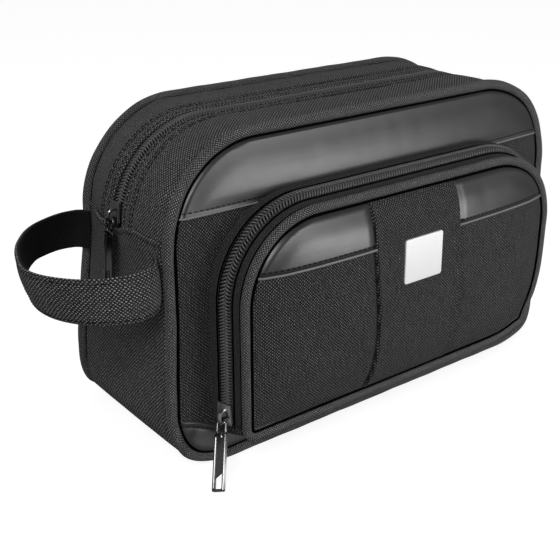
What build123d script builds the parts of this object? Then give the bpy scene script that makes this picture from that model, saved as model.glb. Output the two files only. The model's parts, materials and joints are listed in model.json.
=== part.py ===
from build123d import *
from math import cos, radians, sin, tan
import os

os.makedirs("parts", exist_ok=True)

# The bag stands on its base at z = 0, with its front towards -Y and its carrying strap at -X.
# All sizes are in millimetres.

# Overall size of the zipped bag, measured over the piping
bag_width = 268.0
bag_height = 170.0
bag_depth = 98.0
top_corner_radius = 52.0
base_corner_radius = 30.0

# Cloth, piping and how closely sewn pieces lie
cloth = 1.6
panel_cloth = 1.6
panel_stand = 1.3
piping_diameter = 5.4
piping_stand = 2.6
piping_lift = 0.3
sewn_gap = 0.3
lining_cloth = 0.6
lining_gap = 0.4
foam = 1.8

# Zip chain, tapes and slider, the same size on both zips
tape_width = 13.0
tape_cloth = 0.6
coil_width = 6.0
coil_height = 2.2
coil_lift = 0.1
zip_gap = 10.4
coil_row_gap = 0.2
zip_y = 1.5
side_seam_rise = 0.6
tape_tuck = 6.0
end_stop_rise = 1.5
end_stop_length = 2.8
end_stop_stand = 0.4
slider_length = 12.0
slider_width = 9.6
slider_plate = 1.1
slider_flange = 1.1
slider_clearance = 0.3
neck_length = 3.0
neck_width = 2.4
neck_inset = 0.4
bridge_length = 8.0
bridge_width = 1.8
bridge_bar = 1.0
bridge_foot = 1.2
bridge_low_end = -5.4
eye_floor = 0.3
eye_height = 2.2

# Pull tabs
bail_wire = 1.2
bail_width = 7.2
bail_length = 8.0
pull_length = 35.0
pull_width = 8.0
pull_thickness = 2.0
pull_border = 1.3
pull_window_end = 7.5
tongue_thickness = 1.0

# Where each slider stands and how its pull tab hangs
main_slider_angle = 10.0
main_pull_lean = 6.0
pocket_slider_z = 31.5
pocket_pull_twist = 25.0
pocket_pull_lean = 32.5

# Front panel seams
leather_seam_z = 133.0
band_height = 17.0
band_corner_height = 28.0
band_side_gap = 4.0
band_bend_run = 8.0
band_bend_rise = 4.0

# Pocket, measured to the centre of its piping
pocket_centre = 1.2
pocket_half_width = 105.2
pocket_low = 19.3
pocket_high = 131.3
pocket_top_radius = 43.0
pocket_low_radius = 5.0
pocket_piping_diameter = 4.6
pocket_depth = 21.0
pocket_wall_slope = 16.0
pocket_wall_stand = 1.2
pocket_front_stand = 0.9
pocket_wall_cloth = 1.2
pocket_zip_forward = 10.2
pocket_zip_end_angle = 45.0
pocket_zip_start = 22.0
pocket_bulge = 7.5
pocket_panel_cloth = 1.4
pocket_seam_z = 103.0
strip_centre = 1.5
strip_half_width = 30.5

# Plain metal plate on the pocket
plate_width = 27.0
plate_height = 24.5
plate_thickness = 1.0
plate_radius = 1.5
plate_x = 4.5
plate_z = 93.0

# Carrying strap
strap_drop = 2.0
strap_width = 25.0
strap_thickness = 2.6
strap_low_reach = 0.86

# Inner pieces
board_thickness = 1.5
board_side_margin = 1.4
board_front_margin = 3.4
board_corner_radius = 8.0
binding_width = 8.7
binding_cloth = 1.2
binding_gap = 0.6
lining_slot_margin = 2.0

# Sizes that follow from those above
cloth_half_width = bag_width / 2 - piping_stand
cloth_top = bag_height - piping_stand
piping_radius = piping_diameter / 2
piping_half_width = bag_width / 2 - piping_radius
piping_low = piping_radius + piping_lift
piping_top = bag_height - piping_radius
piping_y = bag_depth / 2 - piping_radius
panel_face_y = piping_y + panel_stand
panel_back_y = panel_face_y - panel_cloth
gusset_edge_y = piping_y - piping_radius - sewn_gap
panel_inset = piping_radius + sewn_gap
binding_inset = panel_inset + binding_gap
lining_panel_inset = binding_inset + binding_cloth + lining_gap
foam_y = panel_back_y - sewn_gap
lining_y = foam_y - foam - sewn_gap
lining_edge_y = lining_y - lining_cloth - sewn_gap
tape_inset = cloth + sewn_gap
corner_x = -(cloth_half_width - top_corner_radius)
corner_z = cloth_top - top_corner_radius
side_seam_z = corner_z + side_seam_rise
tape_end_z = side_seam_z - tape_tuck
strap_high = side_seam_z - strap_drop
strap_low = strap_high - strap_width
slot_half = neck_width / 2 + slider_clearance
coil_top = coil_lift + coil_height
plate_low = coil_top + slider_clearance
plate_high = plate_low + slider_plate
under_high = -tape_cloth - slider_clearance
under_low = under_high - slider_plate
neck_end = -slider_length / 2 + neck_inset + neck_length
pivot_s = -2.6
pivot_n = plate_high + eye_floor + eye_height / 2


def rounded_outline(y, half_width, low, high, top_radius, low_radius, centre=0.0):
    """A rectangle standing at depth y, with one radius at its top and one at its base."""
    with BuildSketch(Plane.XZ.offset(-y)) as outline:
        with Locations((centre, (low + high) / 2)):
            Rectangle(2 * half_width, high - low)
        fillet(outline.vertices().group_by(Axis.Y)[-1], radius=top_radius)
        fillet(outline.vertices().group_by(Axis.Y)[0], radius=low_radius)
    return outline.sketch


def body_outline(y, inset):
    """The outer face of the cloth that wraps the bag, drawn in by an inset."""
    return rounded_outline(
        y,
        cloth_half_width - inset,
        inset,
        cloth_top - inset,
        top_corner_radius - inset,
        base_corner_radius - inset,
    )


def seam_outline(y, inset):
    """The centre of the piping, drawn in by an inset."""
    return rounded_outline(
        y,
        piping_half_width - inset,
        piping_low + inset,
        piping_top - inset,
        top_corner_radius - inset,
        base_corner_radius - inset,
    )


def pocket_outline(y, outset):
    """The centre of the pocket's piping, drawn out by an outset."""
    return rounded_outline(
        y,
        pocket_half_width + outset,
        pocket_low - outset,
        pocket_high + outset,
        pocket_top_radius + outset,
        pocket_low_radius + outset,
        pocket_centre,
    )


def wrap_strip(outline, front_y, back_y, outer, inner):
    """A strip of cloth that follows an outline, from one depth to another."""
    extrude(outline(front_y, outer), amount=front_y - back_y)
    extrude(outline(front_y, inner), amount=front_y - back_y, mode=Mode.SUBTRACT)


def round_piping(y, outline, radius):
    """A cord swept all the way round an outline."""
    path = outline(y, 0).wires()[0]
    with BuildSketch(Plane(origin=path @ 0, z_dir=path % 0)) as section:
        Circle(radius)
    sweep(section.sketch, path=path)


# Cloth round the sides and base of the bag
with BuildPart() as lower_gusset:
    wrap_strip(body_outline, -gusset_edge_y, gusset_edge_y, 0, cloth)
    split(bisect_by=Plane.XY.offset(side_seam_z), keep=Keep.BOTTOM)

# Cloth over the top, in two strips with the zip between them
with BuildPart() as zip_gusset_front:
    wrap_strip(body_outline, -gusset_edge_y, zip_y - zip_gap / 2, 0, cloth)
    split(bisect_by=Plane.XY.offset(side_seam_z), keep=Keep.TOP)

with BuildPart() as zip_gusset_rear:
    wrap_strip(body_outline, zip_y + zip_gap / 2, gusset_edge_y, 0, cloth)
    split(bisect_by=Plane.XY.offset(side_seam_z), keep=Keep.TOP)

# Main zip: two tapes under the edges of the strips, and the coil of each tape
with BuildPart() as main_zip_tape_front:
    wrap_strip(
        body_outline, zip_y - tape_width, zip_y - slot_half, tape_inset, tape_inset + tape_cloth
    )
    split(bisect_by=Plane.XY.offset(tape_end_z), keep=Keep.TOP)

with BuildPart() as main_zip_tape_rear:
    wrap_strip(
        body_outline, zip_y + slot_half, zip_y + tape_width, tape_inset, tape_inset + tape_cloth
    )
    split(bisect_by=Plane.XY.offset(tape_end_z), keep=Keep.TOP)

# The main slider travels about the axis of the left top corner
tape_radius = top_corner_radius - tape_inset


def corner_plane(angle, radius):
    """A plane on the left corner's arc: x along the zip, y across it, z outwards."""
    out = Vector(-cos(radians(angle)), 0, sin(radians(angle)))
    along = Vector(sin(radians(angle)), 0, cos(radians(angle)))
    return Plane(origin=Vector(corner_x, zip_y, corner_z) + out * radius, x_dir=along, z_dir=out)


main_slider_place = corner_plane(main_slider_angle, tape_radius)
chain_start = main_slider_place.from_local_coords(Vector(neck_end + slider_clearance, 0, 0))
chain_start_plane = Plane(origin=chain_start, z_dir=main_slider_place.x_dir)
end_stop_z = side_seam_z + end_stop_rise
main_coil_end_z = end_stop_z + end_stop_length + sewn_gap


def main_coil(front_y, back_y):
    """One row of the main zip's coil, from the slider's neck to the far stop."""
    wrap_strip(body_outline, front_y, back_y, tape_inset - coil_top, tape_inset - coil_lift)
    split(bisect_by=Plane.XY.offset(corner_z), keep=Keep.TOP)
    split(bisect_by=chain_start_plane, keep=Keep.TOP)
    with BuildSketch(Plane.XY.offset(corner_z)) as far_end:
        with Locations((cloth_half_width, (front_y + back_y) / 2)):
            Rectangle(2 * top_corner_radius, coil_width)
    extrude(far_end.sketch, amount=main_coil_end_z - corner_z, mode=Mode.SUBTRACT)


with BuildPart() as main_zip_coil_front:
    main_coil(zip_y - coil_width / 2, zip_y - coil_row_gap / 2)

with BuildPart() as main_zip_coil_rear:
    main_coil(zip_y + coil_row_gap / 2, zip_y + coil_width / 2)

with BuildPart() as main_zip_end_stop:
    stop_height = coil_height + end_stop_stand
    with BuildSketch(Plane.XY.offset(end_stop_z)):
        with Locations((cloth_half_width - tape_inset + coil_lift + stop_height / 2, zip_y)):
            RectangleRounded(stop_height, coil_width + 2 * end_stop_stand, 0.6)
    extrude(amount=end_stop_length)

# Piping in the front and rear seams
with BuildPart() as front_piping:
    round_piping(-piping_y, seam_outline, piping_radius)

with BuildPart() as rear_piping:
    round_piping(piping_y, seam_outline, piping_radius)


def front_panel_piece(lower_edge, upper_edge):
    """A piece of the front panel between two edges, each a list of points from left to right."""
    extrude(seam_outline(-panel_back_y, panel_inset), amount=panel_cloth)
    with BuildSketch(Plane.XZ.offset(panel_back_y)) as piece:
        with BuildLine():
            Polyline(*lower_edge, *reversed(upper_edge), close=True)
        make_face()
    extrude(piece.sketch, amount=panel_cloth, mode=Mode.INTERSECT)


reach = bag_width / 2
band_inner = pocket_half_width + band_side_gap
base_edge = [(-reach, 0), (reach, 0)]
band_edge = [
    (-reach, band_corner_height),
    (-band_inner - band_bend_run, band_height + band_bend_rise),
    (-band_inner, band_height),
    (band_inner, band_height),
    (band_inner + band_bend_run, band_height + band_bend_rise),
    (reach, band_corner_height),
]
leather_edge = [(-reach, leather_seam_z), (reach, leather_seam_z)]
top_edge = [(-reach, bag_height), (reach, bag_height)]

with BuildPart() as front_panel_band:
    front_panel_piece(base_edge, band_edge)

with BuildPart() as front_panel_fabric:
    front_panel_piece(band_edge, leather_edge)

with BuildPart() as front_panel_leather:
    front_panel_piece(leather_edge, top_edge)

with BuildPart() as back_panel:
    extrude(seam_outline(panel_face_y, panel_inset), amount=panel_cloth)

# Foam, lining, bindings and the board in the base
with BuildPart() as front_foam:
    extrude(seam_outline(-foam_y, lining_panel_inset), amount=-foam)

with BuildPart() as back_foam:
    extrude(seam_outline(foam_y, lining_panel_inset), amount=foam)

with BuildPart() as lining_front:
    extrude(seam_outline(-lining_y, lining_panel_inset), amount=-lining_cloth)

with BuildPart() as lining_back:
    extrude(seam_outline(lining_y, lining_panel_inset), amount=lining_cloth)

lining_inset = lining_panel_inset + lining_gap / 2

with BuildPart() as lining_gusset:
    wrap_strip(
        seam_outline, -lining_edge_y, lining_edge_y, lining_inset, lining_inset + lining_cloth
    )
    with BuildSketch(Plane.XY.offset(tape_end_z)) as zip_slot:
        with Locations((0, zip_y)):
            Rectangle(bag_width, zip_gap + 2 * lining_slot_margin)
    extrude(zip_slot.sketch, amount=bag_height - tape_end_z, mode=Mode.SUBTRACT)

with BuildPart() as front_seam_binding:
    wrap_strip(
        seam_outline,
        -foam_y,
        -foam_y + binding_width,
        binding_inset,
        binding_inset + binding_cloth,
    )

with BuildPart() as rear_seam_binding:
    wrap_strip(
        seam_outline,
        foam_y - binding_width,
        foam_y,
        binding_inset,
        binding_inset + binding_cloth,
    )

with BuildPart() as base_board:
    board_width = 2 * (cloth_half_width - base_corner_radius - board_side_margin)
    board_depth = 2 * (gusset_edge_y - board_front_margin)
    with BuildSketch(Plane.XY.offset(cloth + sewn_gap)):
        RectangleRounded(board_width, board_depth, board_corner_radius)
    extrude(amount=board_thickness)

# Carrying strap: a flat loop sewn into both side seams, leaning out at its top edge.
# Each point is a reach out from the side's cloth and a distance back inside a seam.
strap_front = [(2.0, 5.4), (7.1, -2.1), (16.6, -6.6), (34.6, -1.6), (48.6, 10.4), (55.6, 29.4)]
strap_rear = [(51.6, 40.4), (33.6, 10.4), (23.6, 1.4), (12.6, -3.1), (6.1, -2.1), (1.6, 3.4)]
strap_route = [(out, back - gusset_edge_y) for out, back in strap_front]
strap_route += [(out, gusset_edge_y - back) for out, back in strap_rear]


def strap_side(route, distance):
    """The strap's centre line moved sideways by a distance."""
    moved = []
    for i, (x, y) in enumerate(route):
        before = route[max(i - 1, 0)]
        after = route[min(i + 1, len(route) - 1)]
        run = Vector(after[0] - before[0], after[1] - before[1]).normalized()
        moved.append((x + run.Y * distance, y - run.X * distance))
    return moved


def strap_section(z, reach_share):
    """The strap's plan at one height, with its reach from the bag taken as a share."""
    route = [(-cloth_half_width - out * reach_share, y) for out, y in strap_route]
    outer = strap_side(route, strap_thickness / 2)
    inner = strap_side(route, -strap_thickness / 2)
    with BuildSketch(Plane.XY.offset(z)) as section:
        with BuildLine():
            Spline(*outer)
            Line(outer[-1], inner[-1])
            Spline(*reversed(inner))
            Line(inner[0], outer[0])
        make_face()
    return section.sketch


with BuildPart() as side_handle:
    loft([strap_section(strap_low, strap_low_reach), strap_section(strap_high, 1.0)], ruled=True)

# Pocket wall: it leans, so that it is widest where it is sewn to the front panel
pocket_piping_y = -(panel_face_y + pocket_depth)
pocket_wall_front = pocket_piping_y + pocket_piping_diameter / 2 + sewn_gap
pocket_wall_back = -panel_face_y - sewn_gap
pocket_zip_y = -panel_face_y - pocket_zip_forward
wall_lean = tan(radians(pocket_wall_slope))


def wall_outset(y):
    """How far the pocket wall's outer face stands outside the piping's centre at depth y."""
    return pocket_wall_stand + wall_lean * (y - pocket_wall_front)


def pocket_band(front_y, back_y, low, high):
    """A band of the pocket's wall between two depths and two heights over its outer face."""
    for height, mode in ((high, Mode.ADD), (low, Mode.SUBTRACT)):
        front = pocket_outline(front_y, wall_outset(front_y) + height)
        back = pocket_outline(back_y, wall_outset(back_y) + height)
        loft([front, back], ruled=True, mode=mode)


pocket_corner = Vector(
    pocket_centre + pocket_half_width - pocket_top_radius, pocket_high - pocket_top_radius
)


def plain_wall_area(keep):
    """Keeps or cuts the stretch of wall without a zip: the base and the right side."""
    far = 2 * pocket_half_width
    with BuildSketch(Plane.XZ.offset(-pocket_wall_back)) as area:
        with BuildLine():
            Polyline(
                (-far, -far),
                (-far, pocket_zip_start),
                (pocket_corner.X, pocket_zip_start),
                (pocket_corner.X, pocket_corner.Y),
                (
                    pocket_corner.X + far * cos(radians(pocket_zip_end_angle)),
                    pocket_corner.Y + far * sin(radians(pocket_zip_end_angle)),
                ),
                (2 * far, -far),
                close=True,
            )
        make_face()
    extrude(area.sketch, amount=2 * pocket_depth, mode=keep)


with BuildPart() as pocket_gusset:
    pocket_band(pocket_wall_front, pocket_wall_back, -pocket_wall_cloth, 0)
    plain_wall_area(Mode.INTERSECT)

with BuildPart() as pocket_zip_tape_rear:
    pocket_band(pocket_zip_y + slot_half, pocket_wall_back, -tape_cloth, 0)
    plain_wall_area(Mode.SUBTRACT)

with BuildPart() as pocket_zip_tape_front:
    pocket_band(pocket_wall_front, pocket_zip_y - slot_half, -tape_cloth, 0)
    plain_wall_area(Mode.SUBTRACT)

# The pocket slider's own plane: x up along the zip, y across it, z out of the wall
wall_out = Vector(-cos(radians(pocket_wall_slope)), -sin(radians(pocket_wall_slope)), 0)
pocket_slider_x = pocket_centre - pocket_half_width - wall_outset(pocket_zip_y)
pocket_slider_place = Plane(
    origin=(pocket_slider_x, pocket_zip_y, pocket_slider_z), x_dir=(0, 0, 1), z_dir=wall_out
)
pocket_chain_z = pocket_slider_z + neck_end + slider_clearance


def pocket_coil(front_y, back_y):
    """One row of the pocket zip's coil, from the slider's neck to its far end."""
    pocket_band(front_y, back_y, 2 * coil_lift, coil_top)
    plain_wall_area(Mode.SUBTRACT)
    split(bisect_by=Plane.XY.offset(pocket_chain_z), keep=Keep.TOP)


# On the leaning wall the coil's sides shear outwards, so its base is that much narrower
pocket_coil_half = coil_width / 2 - coil_height * wall_lean / 2

with BuildPart() as pocket_zip_coil_rear:
    pocket_coil(pocket_zip_y + coil_row_gap / 2, pocket_zip_y + pocket_coil_half)

with BuildPart() as pocket_zip_coil_front:
    pocket_coil(pocket_zip_y - pocket_coil_half, pocket_zip_y - coil_row_gap / 2)

with BuildPart() as pocket_piping:
    round_piping(pocket_piping_y, pocket_outline, pocket_piping_diameter / 2)

# Pocket front: five pieces cut from one crowned sheet
crown_y = pocket_piping_y - pocket_front_stand
pocket_half_height = (pocket_high - pocket_low) / 2
pocket_mid_z = (pocket_high + pocket_low) / 2
crown_steps = 4


def crown(x, z):
    """How far the pocket's front stands out at a point, fullest in the middle."""
    across = (x - pocket_centre) / pocket_half_width
    up = (z - pocket_mid_z) / pocket_half_height
    return pocket_bulge * (1 - across**4) * (1 - up**4)


def crowned_sheet(shift, thickness):
    """A sheet of cloth that follows the crown, its face moved back by a shift."""
    points = []
    for i in range(-crown_steps, crown_steps + 1):
        x = pocket_centre + pocket_half_width * i / crown_steps
        column = []
        for j in range(-crown_steps, crown_steps + 1):
            z = pocket_mid_z + pocket_half_height * j / crown_steps
            column.append(Vector(x, crown_y - crown(x, z) + shift, z))
        points.append(column)
    face = Face.make_surface_from_array_of_points(points)
    return Solid.extrude(face, Vector(0, thickness, 0))


pocket_panel_inset = pocket_piping_diameter / 2 + sewn_gap
panel_reach = 2 * pocket_depth


def pocket_panel_piece(left, right, low, high):
    """A piece of the pocket's front between four straight edges."""
    extrude(pocket_outline(crown_y + pocket_depth / 2, -pocket_panel_inset), amount=panel_reach)
    with BuildSketch(Plane.XZ.offset(-crown_y - pocket_depth / 2)) as piece:
        with Locations(((left + right) / 2, (low + high) / 2)):
            Rectangle(right - left, high - low)
    extrude(piece.sketch, amount=panel_reach, mode=Mode.INTERSECT)
    add(crowned_sheet(0, pocket_panel_cloth), mode=Mode.INTERSECT)


strip_left = strip_centre - strip_half_width
strip_right = strip_centre + strip_half_width

with BuildPart() as pocket_panel_left:
    pocket_panel_piece(-bag_width, strip_left, 0, pocket_seam_z)

with BuildPart() as pocket_panel_right:
    pocket_panel_piece(strip_right, bag_width, 0, pocket_seam_z)

with BuildPart() as pocket_leather_left:
    pocket_panel_piece(-bag_width, strip_left, pocket_seam_z, bag_height)

with BuildPart() as pocket_leather_right:
    pocket_panel_piece(strip_right, bag_width, pocket_seam_z, bag_height)

with BuildPart() as pocket_centre_strip:
    pocket_panel_piece(strip_left, strip_right, 0, bag_height)

with BuildPart() as pocket_lining:
    extrude(
        pocket_outline(crown_y + pocket_depth / 2, -pocket_panel_inset - 0.6), amount=panel_reach
    )
    add(crowned_sheet(pocket_panel_cloth + sewn_gap, lining_cloth), mode=Mode.INTERSECT)

# Plain plate, flat and square to the crowned strip under its middle
step = 1.0
slope_x = (crown(plate_x + step, plate_z) - crown(plate_x - step, plate_z)) / (2 * step)
slope_z = (crown(plate_x, plate_z + step) - crown(plate_x, plate_z - step)) / (2 * step)
plate_out = Vector(-slope_x, -1, -slope_z).normalized()
plate_seat = Vector(plate_x, crown_y - crown(plate_x, plate_z), plate_z) + plate_out * sewn_gap

with BuildPart() as plain_plate:
    with BuildSketch(Plane(origin=plate_seat, x_dir=(1, 0, 0), z_dir=plate_out)):
        RectangleRounded(plate_width, plate_height, plate_radius)
    extrude(amount=plate_thickness)
    fillet(plain_plate.faces().sort_by(Axis.Y)[0].edges(), radius=0.3)


def slider_outline(place, height, shrink):
    """A slider plate, widest at the shoulders beside its neck."""
    half = slider_width / 2 - shrink
    end = slider_length / 2 - shrink
    with BuildSketch(place.offset(height)) as outline:
        with BuildLine():
            Polyline(
                (-end, -half + 0.7),
                (-end + 2.0, -half),
                (end, -half + 0.9),
                (end, half - 0.9),
                (-end + 2.0, half),
                (-end, half - 0.7),
                close=True,
            )
        make_face()
        fillet(outline.vertices(), radius=0.5)
    return outline.sketch


def side_plane(place):
    """A plane through a slider's middle: x along the zip, y outwards."""
    return Plane(origin=place.origin, x_dir=place.x_dir, z_dir=-place.y_dir)


def slider_body(place):
    """Two plates joined by a neck, side flanges over the coil and a bridge for the pull tab."""
    extrude(slider_outline(place, plate_low, 0), amount=slider_plate)
    extrude(slider_outline(place, under_low, 0.4), amount=slider_plate)
    extrude(slider_outline(place, slider_clearance, 0), amount=plate_low - slider_clearance)
    channel = slider_width - 2 * slider_flange
    with BuildSketch(place.offset(slider_clearance)) as groove:
        Rectangle(2 * slider_length, channel)
    extrude(groove.sketch, amount=plate_low - slider_clearance, mode=Mode.SUBTRACT)
    with BuildSketch(place.offset(under_high)) as neck:
        with Locations((neck_end - neck_length / 2, 0)):
            RectangleRounded(neck_length, neck_width, 0.8)
    extrude(neck.sketch, amount=plate_low - under_high)
    bridge_height = eye_floor + eye_height + bridge_bar
    bridge_middle = bridge_low_end + bridge_length / 2
    with BuildSketch(side_plane(place)) as bridge:
        with Locations((bridge_middle, plate_high + bridge_height / 2)):
            RectangleRounded(bridge_length, bridge_height, 0.9)
        with Locations((bridge_middle, plate_high + 0.5)):
            Rectangle(bridge_length, 1.0)
        with Locations((bridge_middle, plate_high + eye_floor + eye_height / 2)):
            RectangleRounded(
                bridge_length - 2 * bridge_foot, eye_height, 0.7, mode=Mode.SUBTRACT
            )
    extrude(bridge.sketch, amount=bridge_width / 2, both=True)


with BuildPart() as main_slider:
    slider_body(main_slider_place)

with BuildPart() as pocket_slider:
    slider_body(pocket_slider_place)


def pull_tab(place):
    """A wire bail and a framed tab: x runs down the tab, z is square to its face."""
    wire = bail_wire / 2
    frame_start = bail_length - 1.4
    window_start = frame_start + pull_border + 0.5
    window_end = pull_length - pull_border
    inner = pull_width - 2 * pull_border
    with BuildSketch(place.offset(-wire)) as bail:
        with Locations((bail_length / 2 - wire, 0)):
            RectangleRounded(bail_length, bail_width, 1.4)
            RectangleRounded(
                bail_length - 2 * bail_wire, bail_width - 2 * bail_wire, 0.6, mode=Mode.SUBTRACT
            )
        Rectangle(2 * bail_wire, bail_width - 2 * bail_wire, mode=Mode.SUBTRACT)
    extrude(bail.sketch, amount=bail_wire)
    with BuildSketch(Plane(origin=place.origin, x_dir=place.x_dir, z_dir=place.y_dir)) as pin:
        Circle(wire)
    extrude(pin.sketch, amount=bail_width / 2 - wire, both=True)
    with BuildSketch(place.offset(-pull_thickness / 2)) as frame:
        with Locations(((frame_start + pull_length) / 2, 0)):
            RectangleRounded(pull_length - frame_start, pull_width, 1.2)
        with Locations(((window_start + window_end) / 2, 0)):
            RectangleRounded(window_end - window_start, inner, 0.5, mode=Mode.SUBTRACT)
    extrude(frame.sketch, amount=pull_thickness)
    with BuildSketch(place.offset(-tongue_thickness / 2)) as tongue:
        with BuildLine():
            Polyline(
                (window_start, -inner / 2),
                (window_end - pull_window_end, -inner / 2),
                (window_end - pull_window_end + 2.0, inner / 2),
                (window_start, inner / 2),
                close=True,
            )
        make_face()
    extrude(tongue.sketch, amount=tongue_thickness)


# The main pull hangs down the side of the bag
main_pivot = main_slider_place.from_local_coords(Vector(pivot_s, 0, pivot_n))
main_pull_down = Vector(-sin(radians(main_pull_lean)), 0, -cos(radians(main_pull_lean)))
main_pull_out = Vector(-cos(radians(main_pull_lean)), 0, sin(radians(main_pull_lean)))

with BuildPart() as main_puller:
    pull_tab(Plane(origin=main_pivot, x_dir=main_pull_down, z_dir=main_pull_out))

# The pocket pull leans out and forwards, with its tip just over the ground
pocket_pivot = pocket_slider_place.from_local_coords(Vector(pivot_s, 0, pivot_n))
wall_forward = -pocket_slider_place.y_dir
hang = Vector(0, 0, -cos(radians(pocket_pull_twist))) + wall_forward * sin(
    radians(pocket_pull_twist)
)
pocket_pull_down = hang * cos(radians(pocket_pull_lean)) + wall_out * sin(radians(pocket_pull_lean))
pocket_pull_out = wall_out * cos(radians(pocket_pull_lean)) - hang * sin(radians(pocket_pull_lean))

with BuildPart() as pocket_puller:
    pull_tab(Plane(origin=pocket_pivot, x_dir=pocket_pull_down, z_dir=pocket_pull_out))

pieces = {
    "lower_gusset": lower_gusset,
    "zip_gusset_front": zip_gusset_front,
    "zip_gusset_rear": zip_gusset_rear,
    "main_zip_tape_front": main_zip_tape_front,
    "main_zip_tape_rear": main_zip_tape_rear,
    "main_zip_coil_front": main_zip_coil_front,
    "main_zip_coil_rear": main_zip_coil_rear,
    "main_zip_end_stop": main_zip_end_stop,
    "main_slider": main_slider,
    "main_puller": main_puller,
    "front_piping": front_piping,
    "rear_piping": rear_piping,
    "front_panel_leather": front_panel_leather,
    "front_panel_fabric": front_panel_fabric,
    "front_panel_band": front_panel_band,
    "back_panel": back_panel,
    "front_foam": front_foam,
    "back_foam": back_foam,
    "lining_front": lining_front,
    "lining_back": lining_back,
    "lining_gusset": lining_gusset,
    "front_seam_binding": front_seam_binding,
    "rear_seam_binding": rear_seam_binding,
    "base_board": base_board,
    "side_handle": side_handle,
    "pocket_gusset": pocket_gusset,
    "pocket_zip_tape_rear": pocket_zip_tape_rear,
    "pocket_zip_tape_front": pocket_zip_tape_front,
    "pocket_zip_coil_rear": pocket_zip_coil_rear,
    "pocket_zip_coil_front": pocket_zip_coil_front,
    "pocket_slider": pocket_slider,
    "pocket_puller": pocket_puller,
    "pocket_piping": pocket_piping,
    "pocket_panel_left": pocket_panel_left,
    "pocket_panel_right": pocket_panel_right,
    "pocket_leather_left": pocket_leather_left,
    "pocket_leather_right": pocket_leather_right,
    "pocket_centre_strip": pocket_centre_strip,
    "pocket_lining": pocket_lining,
    "plain_plate": plain_plate,
}

for name, piece in pieces.items():
    piece.part.label = name
    export_step(piece.part, f"parts/{name}.step")

# The places that the joints turn about or slide along
print("corner axis", round(corner_x, 3), round(corner_z, 3))
print("main pivot", main_pivot)
print("pocket pivot", pocket_pivot, "axis", hang.cross(wall_out))
print("pocket pull tip", pocket_pivot + pocket_pull_down * pull_length)
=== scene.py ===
import json
import logging
import math
from dataclasses import dataclass, replace
from enum import Enum
from functools import cached_property, lru_cache

import bpy
import numpy as np
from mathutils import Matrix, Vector


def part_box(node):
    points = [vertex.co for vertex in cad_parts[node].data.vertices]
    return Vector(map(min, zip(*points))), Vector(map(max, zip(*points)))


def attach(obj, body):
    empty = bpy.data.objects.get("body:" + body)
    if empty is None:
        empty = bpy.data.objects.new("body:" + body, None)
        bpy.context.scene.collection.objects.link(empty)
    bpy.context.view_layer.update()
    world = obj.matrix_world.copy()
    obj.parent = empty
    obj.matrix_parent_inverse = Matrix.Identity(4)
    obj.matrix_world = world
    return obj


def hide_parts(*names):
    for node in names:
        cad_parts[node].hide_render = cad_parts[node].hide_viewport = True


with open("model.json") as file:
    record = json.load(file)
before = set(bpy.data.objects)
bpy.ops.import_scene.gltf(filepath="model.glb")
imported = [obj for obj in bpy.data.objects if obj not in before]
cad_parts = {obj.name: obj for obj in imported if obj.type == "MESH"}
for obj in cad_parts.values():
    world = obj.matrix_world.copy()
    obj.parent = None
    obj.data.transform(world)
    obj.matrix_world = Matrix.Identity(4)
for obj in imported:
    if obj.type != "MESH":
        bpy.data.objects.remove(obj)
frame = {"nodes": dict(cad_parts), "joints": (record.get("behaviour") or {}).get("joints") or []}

LOG = logging.getLogger("toiletry_bag")
MM = 0.001
CLOTH_MAP = "cloth"
BAG = "bag"


# Shapes: every size below is in millimetres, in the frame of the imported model


def ramp(value: np.ndarray, start: float, end: float) -> np.ndarray:
    """Rises smoothly from 0 at the start to 1 at the end.

    Args:
        value: Where the ramp is read.
        start: The value at which it is 0.
        end: The value at which it is 1.

    Returns:
        The ramp's height at each value.
    """
    share = np.clip((np.asarray(value, float) - start) / (end - start), 0.0, 1.0)
    return share * share * (3.0 - 2.0 * share)


def bump(value: np.ndarray, middle: float, width: float) -> np.ndarray:
    """A round bump of height 1 at a middle, which dies away over a width."""
    return np.exp(-(((np.asarray(value, float) - middle) / width) ** 2))


@dataclass(frozen=True)
class Ripple:
    """The slight unevenness of cloth that has been sewn, filled and handled.

    Attributes:
        depth: How far the cloth swings in and out.
        wave: The length of the longest wave.
        phase: A shift that makes one piece's waves unlike another's.
    """

    depth: float = 0.3
    wave: float = 46.0
    phase: float = 0.0

    def height(self, across: np.ndarray, along: np.ndarray) -> np.ndarray:
        """Reads the unevenness at points of the cloth.

        Args:
            across: Distances across the cloth.
            along: Distances along the cloth.

        Returns:
            Heights, of either sign.
        """
        total = np.zeros(np.broadcast(across, along).shape)
        for turn, (share, angle) in enumerate(((0.45, 0.4), (0.3, 1.7), (0.2, 2.6), (0.12, 0.9))):
            wave = self.wave / (1.0 + 0.83 * turn)
            step = (np.cos(angle) * across + np.sin(angle) * along) * 2.0 * np.pi / wave
            total = total + share * np.sin(step + self.phase * (turn + 1.3))
        return self.depth * total


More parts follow.
